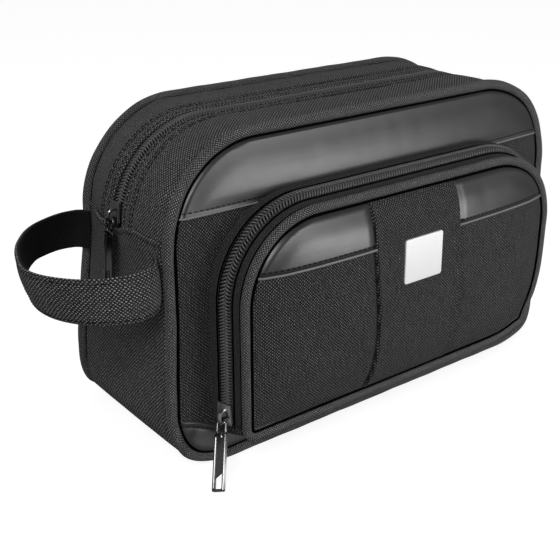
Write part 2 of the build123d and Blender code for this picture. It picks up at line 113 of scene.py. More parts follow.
@dataclass(frozen=True)
class Outline:
    """A closed line seen from the front: straight sides joined by round corners.

    A run is a distance along the line. It starts at the middle of the base and goes left,
    up the left side, over the top to the right, and down and back along the base.
    """

    half_width: float
    low: float
    high: float
    top_radius: float
    low_radius: float
    centre: float = 0.0

    def grown(self, out: float) -> "Outline":
        """The same line moved outwards by a distance."""
        return Outline(
            self.half_width + out,
            self.low - out,
            self.high + out,
            self.top_radius + out,
            self.low_radius + out,
            self.centre,
        )

    def corners(self) -> list[tuple[float, float, float]]:
        """Centre and radius of each corner, from the low left one clockwise."""
        left, right = self.centre - self.half_width, self.centre + self.half_width
        top, base = self.top_radius, self.low_radius
        return [
            (left + base, self.low + base, base),
            (left + top, self.high - top, top),
            (right - top, self.high - top, top),
            (right - base, self.low + base, base),
        ]

    @property
    def length(self) -> float:
        """The length of the whole line."""
        straight = 4 * self.half_width + 2 * (self.high - self.low)
        return straight - (4 - math.pi) * (self.top_radius + self.low_radius)

    def at(self, runs: np.ndarray) -> tuple[np.ndarray, np.ndarray]:
        """Finds places on the line.

        Args:
            runs: Distances along the line, of any shape.

        Returns:
            The places and the outward directions, each with x and z in its last axis.
        """
        run = np.mod(np.asarray(runs, float), self.length)
        place = np.zeros(run.shape + (2,))
        out = np.zeros(run.shape + (2,))
        point = np.array([self.centre, self.low])
        angle, start = -math.pi / 2, 0.0
        for x, z, radius in [*self.corners(), (self.centre, self.low, 0.0)]:
            normal = np.array([math.cos(angle), math.sin(angle)])
            heading = np.array([normal[1], -normal[0]])
            end = np.array([x, z]) + radius * normal
            straight = float(np.linalg.norm(end - point))
            here = (run >= start) & (run <= start + straight)
            place[here] = point + (run[here] - start)[:, None] * heading
            out[here] = normal
            start += straight
            turned = angle - (run - start) / max(radius, 1e-9)
            here = (run > start) & (run <= start + radius * math.pi / 2)
            out[here] = np.stack([np.cos(turned[here]), np.sin(turned[here])], -1)
            place[here] = np.array([x, z]) + radius * out[here]
            start += radius * math.pi / 2
            angle -= math.pi / 2
            point = np.array([x + radius * math.cos(angle), z + radius * math.sin(angle)])
        return place, out

    def run_at(self, height: float, left: bool = True) -> float:
        """The run at which the line passes a height on its left or right side."""
        base, top = self.low_radius, self.top_radius
        run = self.half_width - base
        if height < self.low + base:
            run += base * math.acos((self.low + base - height) / base)
        else:
            run += base * math.pi / 2 + min(height, self.high - top) - (self.low + base)
            run += top * math.asin(max(height - (self.high - top), 0.0) / top)
        return run if left else self.length - run

    def reach(self, height: np.ndarray) -> np.ndarray:
        """Half the line's width at each height."""
        base, top = self.low_radius, self.top_radius
        under = np.clip(self.low + base - np.asarray(height, float), 0.0, base)
        over = np.clip(np.asarray(height, float) - (self.high - top), 0.0, top)
        cut = base - np.sqrt(base**2 - under**2) + top - np.sqrt(top**2 - over**2)
        return self.half_width - cut

    def inside(self, x: np.ndarray, z: np.ndarray) -> np.ndarray:
        """How far points lie inside the line."""
        middle = (self.low + self.high) / 2
        radius = np.where(z > middle, self.top_radius, self.low_radius)
        wide = np.abs(x - self.centre) - (self.half_width - radius)
        tall = np.abs(z - middle) - ((self.high - self.low) / 2 - radius)
        beyond = np.hypot(np.maximum(wide, 0.0), np.maximum(tall, 0.0))
        return radius - beyond - np.minimum(np.maximum(wide, tall), 0.0)

    def heights(self, low: float, high: float, step: float) -> np.ndarray:
        """Heights between two limits, closer together where the line curves in."""
        inner = np.linspace(0, math.pi / 2, 16)
        top = self.high - self.top_radius + self.top_radius * np.sin(inner)
        base = self.low + self.low_radius - self.low_radius * np.sin(inner)
        even = np.linspace(low, high, max(int((high - low) / step), 2))
        levels = np.unique(np.round(np.concatenate([top, base, even]), 3))
        levels = levels[(levels > low + 0.2) & (levels < high - 0.2)]
        return np.concatenate([[low], levels, [high]])


@dataclass
class Sheet:
    """A grid of points with its cloth coordinates.

    Attributes:
        points: The points, as rows of columns of x, y and z.
        cloth: The distance across and along the cloth at each point.
        wrap_rows: Whether the last row joins the first.
        wrap_columns: Whether the last column joins the first.
        period: The cloth's own length round each wrap.
        capped: Whether the open ends of a tube are closed.
        skin: Which of the piece's finishes it takes.
    """

    points: np.ndarray
    cloth: np.ndarray
    wrap_rows: bool = False
    wrap_columns: bool = False
    period: tuple[float, float] = (0.0, 0.0)
    capped: bool = False
    skin: int = 0

    def faces(self, first: int) -> tuple[list[list[int]], list[tuple[float, float]]]:
        """Joins the grid's points into faces.

        Args:
            first: The number of the grid's first point in the whole mesh.

        Returns:
            The faces, and the cloth coordinates of their corners in the same order.
        """
        rows, columns = self.points.shape[:2]
        row, column = np.meshgrid(
            np.arange(rows if self.wrap_rows else rows - 1),
            np.arange(columns if self.wrap_columns else columns - 1),
            indexing="ij",
        )
        faces, maps = [], []
        for down, over in ((0, 0), (0, 1), (1, 1), (1, 0)):
            r, c = (row + down).ravel(), (column + over).ravel()
            shift = np.stack([(c // columns) * self.period[0], (r // rows) * self.period[1]], -1)
            faces.append(first + (r % rows) * columns + c % columns)
            maps.append(self.cloth[r % rows, c % columns] + shift)
        quads = np.stack(faces, -1).tolist()
        corners = np.stack(maps, 1).reshape(-1, 2).tolist()
        if self.capped:
            start = [first + c for c in range(columns)]
            end = [first + (rows - 1) * columns + c for c in reversed(range(columns))]
            quads += [start, end]
            corners += self.cloth[0].tolist() + self.cloth[-1][::-1].tolist()
        return quads, corners


def sweep(
    outline: Outline, runs: np.ndarray, section: np.ndarray, closed: bool = True, loop: bool = False
) -> Sheet:
    """Carries a cross section along an outline.

    Args:
        outline: The line that is followed.
        runs: Where along the line each row lies, or each point of each row.
        section: The depth and the distance outwards of each of the section's points.
        closed: Whether the section closes on itself.
        loop: Whether the last row joins the first.

    Returns:
        The swept grid.
    """
    runs = np.asarray(runs, float)
    if runs.ndim == 1:
        runs = np.repeat(runs[:, None], section.shape[-2], 1)
    place, out = outline.at(runs)
    depth = np.broadcast_to(section[..., 0], runs.shape)
    rise = np.broadcast_to(section[..., 1], runs.shape)[..., None]
    flat = place + out * rise
    points = np.stack([flat[..., 0], depth, flat[..., 1]], -1)
    gaps = np.linalg.norm(np.diff(points[0], axis=0), axis=-1)
    across = np.broadcast_to(np.concatenate([[0.0], np.cumsum(gaps)]), runs.shape)
    cloth = np.stack([across, runs], -1)
    girth = float(across[0, -1] + np.linalg.norm(points[0, 0] - points[0, -1]))
    return Sheet(
        points,
        cloth,
        wrap_rows=loop,
        wrap_columns=closed,
        period=(girth, outline.length),
        capped=closed and not loop,
    )


def ring(radius: float, sides: int, centre: tuple[float, float] = (0.0, 0.0)) -> np.ndarray:
    """A circle's points as a cross section about a centre."""
    turn = np.linspace(0, 2 * np.pi, sides, endpoint=False)
    return np.stack([centre[0] + radius * np.cos(turn), centre[1] + radius * np.sin(turn)], -1)


def spread(start: float, end: float, step: float) -> np.ndarray:
    """Even distances from a start to an end, about a step apart."""
    return np.linspace(start, end, max(int(abs(end - start) / step), 1) + 1)


def tube(path: np.ndarray, radius: float, sides: int = 10, closed: bool = False) -> Sheet:
    """A round cord along a path.

    Args:
        path: The points of its middle line.
        radius: Its radius.
        sides: How many sides its section has.
        closed: Whether the path closes on itself.

    Returns:
        The cord's grid.
    """
    if closed:
        heading = np.roll(path, -1, 0) - np.roll(path, 1, 0)
    else:
        heading = np.gradient(path, axis=0)
    heading /= np.linalg.norm(heading, axis=1, keepdims=True)
    side = np.cross(heading, [0.0, 0.0, 1.0])
    side += (np.linalg.norm(side, axis=1, keepdims=True) < 1e-3) * np.array([1.0, 0.0, 0.0])
    side /= np.linalg.norm(side, axis=1, keepdims=True)
    up = np.cross(side, heading)
    turn = np.linspace(0, 2 * np.pi, sides, endpoint=False)
    points = (
        path[:, None]
        + radius * np.cos(turn)[None, :, None] * side[:, None]
        + radius * np.sin(turn)[None, :, None] * up[:, None]
    )
    along = np.concatenate([[0.0], np.cumsum(np.linalg.norm(np.diff(path, axis=0), axis=1))])
    around = turn * radius
    cloth = np.stack(np.broadcast_arrays(around[None, :], along[:, None]), -1)
    step = float(np.linalg.norm(path[0] - path[-1]))
    return Sheet(
        points,
        cloth,
        wrap_rows=closed,
        wrap_columns=True,
        period=(2 * np.pi * radius, float(along[-1]) + step),
        capped=not closed,
    )


def even_points(path: np.ndarray, step: float, closed: bool = False) -> np.ndarray:
    """Points at even steps along a path."""
    if closed:
        path = np.concatenate([path, path[:1]])
    along = np.concatenate([[0.0], np.cumsum(np.linalg.norm(np.diff(path, axis=0), axis=1))])
    count = max(int(round(along[-1] / step)), 2)
    wanted = np.linspace(0, along[-1], count + 1)
    if closed:
        wanted = wanted[:-1]
    return np.stack([np.interp(wanted, along, path[:, k]) for k in range(3)], -1)


@dataclass(frozen=True)
class Thread:
    """A row of sewn stitches.

    Attributes:
        pitch: The distance from one stitch to the next.
        length: How long one stitch shows.
        radius: Half the thread's thickness.
        sink: How far a stitch's ends dip into the cloth.
    """

    pitch: float = 3.0
    length: float = 2.5
    radius: float = 0.26
    sink: float = 0.3

    def row(self, path: np.ndarray, out: np.ndarray) -> list[Sheet]:
        """Sews a row along a path.

        Args:
            path: Points on the cloth's surface.
            out: The direction out of the cloth at each of them.

        Returns:
            One small grid for each stitch.
        """
        along = np.concatenate([[0.0], np.cumsum(np.linalg.norm(np.diff(path, axis=0), axis=1))])
        sheets = []
        for middle in np.arange(self.pitch / 2, along[-1] - self.pitch / 2, self.pitch):
            share = np.linspace(-1, 1, 5)
            where = middle + share * self.length / 2
            line = np.stack([np.interp(where, along, path[:, k]) for k in range(3)], -1)
            up = np.array([np.interp(middle, along, out[:, k]) for k in range(3)])
            up /= np.linalg.norm(up)
            line = line + up * (self.radius * 0.5 - self.sink * share[:, None] ** 4)
            heading = line[-1] - line[0]
            heading /= np.linalg.norm(heading)
            side = np.cross(up, heading)
            girth = self.radius * np.array([0.45, 0.9, 1.0, 0.9, 0.45])
            turn = np.linspace(0, 2 * np.pi, 6, endpoint=False)
            points = line[:, None] + girth[:, None, None] * (
                np.cos(turn)[None, :, None] * side + np.sin(turn)[None, :, None] * up
            )
            cloth = np.stack(np.broadcast_arrays(turn[None, :], where[:, None]), -1)
            sheets.append(Sheet(points, cloth, wrap_columns=True, period=(6.3, 0.0), capped=True))
        return sheets


# Finishes


def grey(level: float) -> tuple[float, float, float, float]:
    """A neutral colour from its level as seen on a screen, from 0 to 255."""
    share = level / 255.0
    linear = share / 12.92 if share <= 0.04045 else ((share + 0.055) / 1.055) ** 2.4
    return (linear, linear, linear, 1.0)


class Maker:
    """Short calls that add the nodes of one material."""

    def __init__(self, name: str) -> None:
        """Starts a material with one shader."""
        self.material = bpy.data.materials.new(f"{name}_finish")
        self.material.use_nodes = True
        self.tree = self.material.node_tree
        self.shader = self.tree.nodes["Principled BSDF"]

    def put(self, socket: bpy.types.NodeSocket, value: object) -> None:
        """Gives a socket a value or a link, whichever the value is."""
        if isinstance(value, bpy.types.NodeSocket):
            self.tree.links.new(value, socket)
        else:
            socket.default_value = value

    def math(self, operation: str, first: object, second: object = 0.0) -> bpy.types.NodeSocket:
        """Adds one sum.

        Args:
            operation: The sum's kind.
            first: Its first number or socket.
            second: Its second number or socket.

        Returns:
            The socket that holds the result.
        """
        node = self.tree.nodes.new("ShaderNodeMath")
        node.operation = operation
        self.put(node.inputs[0], first)
        self.put(node.inputs[1], second)
        return node.outputs[0]

    def mix(self, share: object, first: object, second: object) -> bpy.types.NodeSocket:
        """Mixes two numbers or sockets by a share."""
        node = self.tree.nodes.new("ShaderNodeMix")
        self.put(node.inputs["Factor"], share)
        self.put(node.inputs["A"], first)
        self.put(node.inputs["B"], second)
        return node.outputs["Result"]

    def scaled(self, vector: bpy.types.NodeSocket, size: Vector) -> bpy.types.NodeSocket:
        """Multiplies a place by a size in each direction."""
        node = self.tree.nodes.new("ShaderNodeVectorMath")
        node.operation = "MULTIPLY"
        self.put(node.inputs[0], vector)
        node.inputs[1].default_value = size
        return node.outputs[0]

    def cloth(self) -> bpy.types.NodeSocket:
        """The distances across and along the cloth, in millimetres."""
        node = self.tree.nodes.new("ShaderNodeUVMap")
        node.uv_map = CLOTH_MAP
        return node.outputs[0]

    def place(self) -> bpy.types.NodeSocket:
        """The place on the piece, in metres."""
        return self.tree.nodes.new("ShaderNodeTexCoord").outputs["Object"]

    def split(self, vector: bpy.types.NodeSocket) -> tuple[bpy.types.NodeSocket, ...]:
        """The separate numbers of a place."""
        node = self.tree.nodes.new("ShaderNodeSeparateXYZ")
        self.put(node.inputs[0], vector)
        return tuple(node.outputs)

    def noise(
        self, vector: bpy.types.NodeSocket, scale: float, detail: float = 2.0
    ) -> bpy.types.NodeSocket:
        """Cloudy noise.

        Args:
            vector: Where it is read.
            scale: How many clouds there are to one unit of length.
            detail: How many finer layers it has.

        Returns:
            The socket that holds it, from 0 to 1.
        """
        node = self.tree.nodes.new("ShaderNodeTexNoise")
        self.put(node.inputs["Vector"], vector)
        node.inputs["Scale"].default_value = scale
        node.inputs["Detail"].default_value = detail
        return node.outputs[0]

    def pebbles(self, vector: bpy.types.NodeSocket, scale: float) -> bpy.types.NodeSocket:
        """Round cells with thin creases between them, from 0 at a crease."""
        node = self.tree.nodes.new("ShaderNodeTexVoronoi")
        node.feature = "DISTANCE_TO_EDGE"
        self.put(node.inputs["Vector"], vector)
        node.inputs["Scale"].default_value = scale
        return node.outputs["Distance"]

    def shade(self, level: float, amount: object) -> None:
        """Sets the colour to a grey level times an amount that varies over the surface."""
        node = self.tree.nodes.new("ShaderNodeVectorMath")
        node.operation = "SCALE"
        node.inputs[0].default_value = grey(level)[:3]
        self.put(node.inputs["Scale"], amount)
        self.put(self.shader.inputs["Base Color"], node.outputs[0])

    def relief(self, height: object, depth: float, strength: float = 1.0) -> None:
        """Presses a fine relief into the surface.

        Args:
            height: The relief, from 0 to 1.
            depth: Its full depth in millimetres.
            strength: How strongly it shows.
        """
        node = self.tree.nodes.new("ShaderNodeBump")
        self.put(node.inputs["Height"], height)
        node.inputs["Distance"].default_value = depth * MM
        node.inputs["Strength"].default_value = strength
        self.put(self.shader.inputs["Normal"], node.outputs[0])

    def set(self, **values: float) -> None:
        """Sets plain values of the shader, named with underscores for spaces."""
        for name, value in values.items():
            self.shader.inputs[name.replace("_", " ")].default_value = value


@dataclass(frozen=True)
class WovenCloth:
    """Plain woven cloth, whose threads pass over and under each other.

    Attributes:
        name: The material's name.
        level: The cloth's grey, from 0 to 255.
        pitch: The distance from one thread to the next.
        contrast: How much lighter the tops of the threads are painted than the gaps: a painted glint on the tops and
            painted shade in the gaps.
        slub: How much the threads differ from each other.
        depth: How deep the weave is.
        roughness: How matt the threads are.
        sheen: How much the fuzz on the cloth catches the light.
    """

    name: str
    level: float
    pitch: float = 0.9
    contrast: float = 0.75
    slub: float = 0.45
    depth: float = 0.16
    roughness: float = 0.72
    sheen: float = 0.04

    def build(self) -> bpy.types.Material:
        """Makes the material."""
        m = Maker(self.name)
        cloth = m.cloth()
        drift = m.math("MULTIPLY", m.math("SUBTRACT", m.noise(cloth, 0.12, 1.0), 0.5), 0.9)
        jitter = m.math("MULTIPLY", m.math("SUBTRACT", m.noise(cloth, 0.6, 2.0), 0.5), 0.8)
        drift = m.math("ADD", drift, jitter)
        across, along, _ = m.split(cloth)
        warp = m.math("ADD", m.math("DIVIDE", across, self.pitch), drift)
        weft = m.math("ADD", m.math("DIVIDE", along, self.pitch), drift)
        warp = m.math("COSINE", m.math("MULTIPLY", warp, math.pi))
        weft = m.math("COSINE", m.math("MULTIPLY", weft, math.pi))
        over = m.math("GREATER_THAN", m.math("MULTIPLY", warp, weft), 0.0)
        warp, weft = m.math("ABSOLUTE", warp), m.math("ABSOLUTE", weft)
        upright = m.math("MULTIPLY", warp, m.math("POWER", weft, 0.35))
        level = m.math("MULTIPLY", weft, m.math("POWER", warp, 0.35))
        height = m.mix(over, level, upright)
        upright_slub = m.noise(m.scaled(cloth, Vector((1.6, 0.12, 1.0))), 1.0, 1.0)
        level_slub = m.noise(m.scaled(cloth, Vector((0.12, 1.6, 1.0))), 1.0, 1.0)
        slub = m.math("SUBTRACT", m.mix(over, level_slub, upright_slub), 0.5)
        slub = m.math("ADD", m.math("MULTIPLY", slub, 2.0 * self.slub), 1.0)
        speck = m.math("ADD", m.math("MULTIPLY", m.noise(cloth, 0.9, 2.0), 2.0), 0.05)
        cloud = m.math("ADD", m.math("MULTIPLY", m.noise(cloth, 0.03, 2.0), 0.3), 0.85)
        # Painted light: the colour follows the weave's height, with a painted glint on the thread tops and painted
        # shade in the gaps.
        low = 1.0 - self.contrast
        bright = m.math("MULTIPLY", height, m.mix(over, 0.35, 1.0))
        bright = m.math("MULTIPLY", m.math("POWER", bright, 2.2), 5.2 * self.contrast)
        shade = m.math("ADD", bright, low)
        for part in (slub, speck, cloud):
            shade = m.math("MULTIPLY", shade, part)
        m.shade(self.level, shade)
        m.relief(m.math("MULTIPLY", height, slub), self.depth, 0.8)
        m.set(Roughness=self.roughness, Sheen_Weight=self.sheen, Sheen_Roughness=0.5)
        m.set(Specular_IOR_Level=0.16)
        return m.material


@dataclass(frozen=True)
class Leather:
    """Smooth coated leather with a fine grain and a satin shine.

    Attributes:
        name: The material's name.
        level: Its grey, from 0 to 255.
        roughness: How soft its shine is.
        grain: The size of the grain's pebbles.
        coat: How much of a glossy skin it has.
    """

    name: str
    level: float = 36.0
    roughness: float = 0.4
    grain: float = 0.9
    coat: float = 0.7

    def build(self) -> bpy.types.Material:
        """Makes the material."""
        m = Maker(self.name)
        cloth = m.cloth()
        warped = m.scaled(cloth, Vector((1.0, 1.0, 1.0)))
        pebble = m.math("MINIMUM", m.math("MULTIPLY", m.pebbles(warped, 1 / self.grain), 4.0), 1.0)
        mottle = m.noise(cloth, 0.16, 3.0)
        cloud = m.noise(cloth, 0.03, 2.0)
        shade = m.math("ADD", m.math("MULTIPLY", pebble, 0.12), 0.82)
        shade = m.math("MULTIPLY", shade, m.math("ADD", m.math("MULTIPLY", mottle, 0.25), 0.88))
        shade = m.math("MULTIPLY", shade, m.math("ADD", m.math("MULTIPLY", cloud, 0.4), 0.8))
        m.shade(self.level, shade)
        gloss = m.math("ADD", m.math("MULTIPLY", mottle, 0.12), self.roughness - 0.06)
        m.put(m.shader.inputs["Roughness"], gloss)
        uneven = m.math("ADD", m.math("MULTIPLY", pebble, 0.35), m.noise(cloth, 0.35, 3.0))
        m.relief(uneven, 0.09, 0.5)
        m.set(Coat_Weight=self.coat, Coat_Roughness=0.34, Specular_IOR_Level=0.5)
        return m.material


@dataclass(frozen=True)
class Metal:
    """Plated metal with fine rubbing marks.

    Attributes:
        name: The material's name.
        level: The grey that it mirrors, from 0 to 255.
        roughness: How blurred its mirror is.
        brush: How much longer than wide its marks are.
        wear: How much the marks change the colour.
        metallic: How much of its surface is bare metal.
    """

    name: str
    level: float = 150.0
    roughness: float = 0.22
    brush: float = 1.0
    wear: float = 0.2
    metallic: float = 1.0

    def build(self) -> bpy.types.Material:
        """Makes the material."""
        m = Maker(self.name)
        place = m.scaled(m.place(), Vector((1000.0, 1000.0, 1000.0 * self.brush)))
        marks = m.noise(place, 0.9, 4.0)
        fine = m.noise(place, 4.0, 2.0)
        shade = m.math("ADD", m.math("MULTIPLY", marks, self.wear), 1.0 - self.wear / 2)
        m.shade(self.level, shade)
        gloss = m.math("ADD", m.math("MULTIPLY", fine, 0.16), self.roughness - 0.08)
        m.put(m.shader.inputs["Roughness"], gloss)
        m.relief(m.math("ADD", marks, m.math("MULTIPLY", fine, 0.4)), 0.02, 0.25)
        m.set(Metallic=self.metallic)
        return m.material


@dataclass(frozen=True)
class Plain:
    """A cast, foamed or pressed material with small pores.

    Attributes:
        name: The material's name.
        level: Its grey, from 0 to 255.
        roughness: How matt it is.
        pore: The size of its pores.
        depth: How deep they are.
        shine: How strongly its surface mirrors.
    """

    name: str
    level: float
    roughness: float = 0.6
    pore: float = 0.8
    depth: float = 0.08
    shine: float = 0.5

    def build(self) -> bpy.types.Material:
        """Makes the material."""
        m = Maker(self.name)
        place = m.scaled(m.place(), Vector((1000.0, 1000.0, 1000.0)))
        pores = m.noise(place, 1 / self.pore, 4.0)
        cloud = m.noise(place, 0.08, 2.0)
        shade = m.math("ADD", m.math("MULTIPLY", pores, 0.5), 0.55)
        m.shade(self.level, m.math("ADD", shade, m.math("MULTIPLY", cloud, 0.4)))
        m.relief(pores, self.depth, 0.6)
        m.set(Roughness=self.roughness, Specular_IOR_Level=self.shine)
        return m.material


class Skin(Enum):
    """The finishes of the bag, by the name of the record's material slot and its use."""

    CANVAS = ("canvas", WovenCloth("canvas", 79.0, 1.0, 0.96, 0.9, 0.3))
    STRAP_BACK = ("canvas", WovenCloth("strap_back", 20.0, 0.95, 0.5, depth=0.08))
    NYLON = ("nylon", WovenCloth("nylon", 58.0, 0.85, 0.93, 0.9, 0.18))
    LEATHER = ("leather", Leather("leather"))
    BAND = ("leather", Leather("band_leather", 62.0, 0.44, 0.9, 0.45))
    # Painted highlight: the same leather at a far paler grey, standing in for the shine along the rolled edges.
    LEATHER_EDGE_HIGHLIGHT = ("leather", Leather("leather_edge_highlight", 128.0, 0.5, 0.7, 0.2))
    PIPING = ("piping", WovenCloth("piping", 82.0, 0.75, 0.8, 0.5, 0.12))
    TAPE = ("zip_tape", WovenCloth("zip_tape", 50.0, 0.55, 0.6, 0.3, 0.08))
    COIL = ("zip_coil", Plain("zip_coil", 92.0, 0.24, 0.5, 0.03))
    THREAD = ("binding", Plain("thread", 18.0, 0.6, 0.3, 0.05, 0.15))
    # Painted shade: near-black lines laid in the crevices beside the piping and beside the zips, where only shade
    # falls.
    PAINTED_SHADE_LINE = ("binding", Plain("painted_crevice_shade", 7.0, 0.9, 0.4, 0.1, 0.0))
    BINDING = ("binding", WovenCloth("binding", 48.0, 0.6))
    LINING = ("lining", WovenCloth("lining", 70.0, 0.5, 0.4, 0.3, 0.06))
    FOAM = ("foam", Plain("foam", 150.0, 0.9, 0.9, 0.3))
    BOARD = ("board", Plain("board", 110.0, 0.8, 1.4, 0.1))
    SLIDER = ("slider_metal", Metal("slider_metal", 140.0, 0.22))
    SLIDER_BRIGHT = ("slider_metal", Metal("bright_slider_metal", 220.0, 0.2))
    PULL = ("pull_metal", Metal("pull_metal", 128.0, 0.22))
    PLATE = ("plate_metal", Metal("plate_metal", 246.0, 0.4, 6.0, 0.06, 0.45))

    @property
    def slot(self) -> str:
        """The record's material slot."""
        return self.value[0]

    def material(self) -> bpy.types.Material:
        """The material, made once."""
        return finished(self)


@lru_cache(maxsize=None)
def finished(skin: Skin) -> bpy.types.Material:
    """Builds a finish's material the first time it is asked for."""
    return skin.value[1].build()


class Bench:
    """Turns grids into pieces, dresses them and parents them to their bodies."""

    def __init__(self) -> None:
        """Starts with nothing made."""
        self.made: list[bpy.types.Object] = []

    def sew(
        self,
        name: str,
        sheets: list[Sheet],
        skins: list[Skin],
        stands_for: tuple[str, ...] = (),
        body: str = BAG,
        crisp: bool = False,
    ) -> bpy.types.Object:
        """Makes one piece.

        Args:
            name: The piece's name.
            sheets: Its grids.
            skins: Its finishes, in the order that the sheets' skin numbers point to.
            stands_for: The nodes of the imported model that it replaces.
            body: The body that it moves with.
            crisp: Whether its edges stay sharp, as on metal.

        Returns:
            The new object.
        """
        points = np.concatenate([s.points.reshape(-1, 3) for s in sheets]) * MM
        faces, corners, marks, first = [], [], [], 0
        for sheet in sheets:
            quads, maps = sheet.faces(first)
            faces += quads
            corners += maps
            marks += [sheet.skin] * len(quads)
            first += sheet.points.shape[0] * sheet.points.shape[1]
        mesh = bpy.data.meshes.new(name)
        mesh.from_pydata(points.tolist(), [], faces)
        mesh.uv_layers.new(name=CLOTH_MAP).uv.foreach_set("vector", np.ravel(corners))
        mesh.polygons.foreach_set("use_smooth", [True] * len(faces))
        mesh.polygons.foreach_set("material_index", marks)
        for skin in skins:
            mesh.materials.append(skin.material())
        mesh.validate()
        if crisp:
            mesh.set_sharp_from_angle(angle=math.radians(32.0))
        piece = bpy.data.objects.new(name, mesh)
        bpy.context.scene.collection.objects.link(piece)
        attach(piece, body)
        skins[0].slot
        if stands_for:
            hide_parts(*stands_for)
        self.made.append(piece)
        LOG.info("made %s: %d faces", name, len(faces))
        return piece

    def dress(self, node: str, skin: Skin) -> None:
        """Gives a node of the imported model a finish."""
        piece = frame["nodes"][node]
        if not piece.material_slots:
            piece.data.materials.append(skin.material())
        for slot in piece.material_slots:
            slot.material = skin.material()
        LOG.info("dressed %s", node)


def thicken(piece: bpy.types.Object, thickness: float) -> None:
    """Gives a one-sided sheet its thickness, away from its outer face."""
    solid = piece.modifiers.new("thickness", "SOLIDIFY")
    solid.thickness = thickness * MM
    solid.offset = -1.0
    solid.use_rim = True


# The bag's own lines


@lru_cache(maxsize=None)
def span(node: str) -> tuple[Vector, Vector]:
    """The lowest and highest corners of a node, in millimetres."""
    low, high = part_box(node)
    return low / MM, high / MM


@dataclass(frozen=True)
class Relief:
    """A field of heights over a panel, read between its points.

    Attributes:
        low: The x and z of its first point.
        step: The distance between its points in each direction.
        heights: The heights, in rows upwards.
    """

    low: tuple[float, float]
    step: tuple[float, float]
    heights: np.ndarray

    def at(self, x: np.ndarray, z: np.ndarray) -> np.ndarray:
        """The height at each place."""
        rows, columns = self.heights.shape
        across = np.clip((x - self.low[0]) / self.step[0], 0.0, columns - 1.001)
        up = np.clip((z - self.low[1]) / self.step[1], 0.0, rows - 1.001)
        column, row = across.astype(int), up.astype(int)
        a, b = across - column, up - row
        grid = self.heights
        below = grid[row, column] * (1 - a) + grid[row, column + 1] * a
        above = grid[row + 1, column] * (1 - a) + grid[row + 1, column + 1] * a
        return below * (1 - b) + above * b


@dataclass(frozen=True)
class Filling:
    """A cloth simulation of a panel that is sewn in all round and swells with the filling.

    Attributes:
        step: The distance between the cloth's points.
        held: How far inside the seam the cloth is still held.
        slack: How much longer the cloth is than its seam.
        pressure: The pressure behind it.
        frames: How many frames it runs for.
        most: The furthest that a point may move.
        seed: The start of the small unevenness that the wrinkles grow from.
    """

    step: float = 4.5
    held: float = 5.0
    slack: float = 0.004
    pressure: float = 4.0
    frames: int = 20
    most: float = 1.5
    seed: int = 7

    def relief(self, line: Outline) -> Relief:
        """Runs the simulation inside a seam.

        Args:
            line: The seam's outline.
        """
        x = spread(line.centre - line.half_width, line.centre + line.half_width, self.step)
        z = spread(line.low, line.high, self.step)
        low, step = (float(x[0]), float(z[0])), (float(x[1] - x[0]), float(z[1] - z[0]))
        grid_x, grid_z = np.meshgrid(x, z)
        inside = line.inside(grid_x, grid_z)
        start = 0.05 * np.random.default_rng(self.seed).standard_normal(grid_x.shape)
        flat = np.stack([grid_x, -start * (inside > self.held), grid_z], -1)
        cloth = self.cloth(flat, np.flatnonzero(inside.ravel() <= self.held))
        scene = bpy.context.scene
        for number in range(1, self.frames + 1):
            scene.frame_set(number)
        shown = cloth.evaluated_get(bpy.context.evaluated_depsgraph_get()).data
        ends = np.zeros(len(shown.vertices) * 3)
        shown.vertices.foreach_get("co", ends)
        moved = -ends.reshape(grid_x.shape + (3,))[..., 1] / MM
        data = cloth.data
        bpy.data.objects.remove(cloth)
        bpy.data.meshes.remove(data)
        scene.frame_set(1)
        LOG.info("the filling moves the cloth by up to %.2f mm", float(np.abs(moved).max()))
        for _ in range(2):
            around = np.pad(moved, 1, mode="edge")
            sides = around[:-2, 1:-1] + around[2:, 1:-1] + around[1:-1, :-2] + around[1:-1, 2:]
            moved = 0.5 * moved + 0.125 * sides
        return Relief(low, step, self.most * np.tanh(moved / self.most))

    def cloth(self, points: np.ndarray, held: np.ndarray) -> bpy.types.Object:
        """Makes the cloth that is simulated.

        Args:
            points: Its grid of points.
            held: The numbers of the points that stay where they are.

        Returns:
            The object with its simulation set up.
        """
        rows, columns = points.shape[:2]
        quads, _ = Sheet(points, points[..., ::2]).faces(0)
        mesh = bpy.data.meshes.new("filling_cloth")
        mesh.from_pydata((points.reshape(-1, 3) * MM).tolist(), [], quads)
        piece = bpy.data.objects.new("filling_cloth", mesh)
        bpy.context.scene.collection.objects.link(piece)
        group = piece.vertex_groups.new(name="held")
        group.add([int(number) for number in held], 1.0, "REPLACE")
        modifier = piece.modifiers.new("cloth", "CLOTH")
        settings = modifier.settings
        settings.quality = 6
        settings.mass = 0.3
        settings.tension_stiffness = settings.compression_stiffness = 18.0
        settings.shear_stiffness = 8.0
        settings.bending_stiffness = 0.6
        settings.use_pressure = True
        settings.uniform_pressure_force = self.pressure
        settings.shrink_min = -self.slack
        settings.vertex_group_mass = "held"
        settings.effector_weights.gravity = 0.0
        modifier.point_cache.frame_start, modifier.point_cache.frame_end = 1, self.frames
        LOG.info("simulating a cloth of %d by %d points", rows, columns)
        return piece


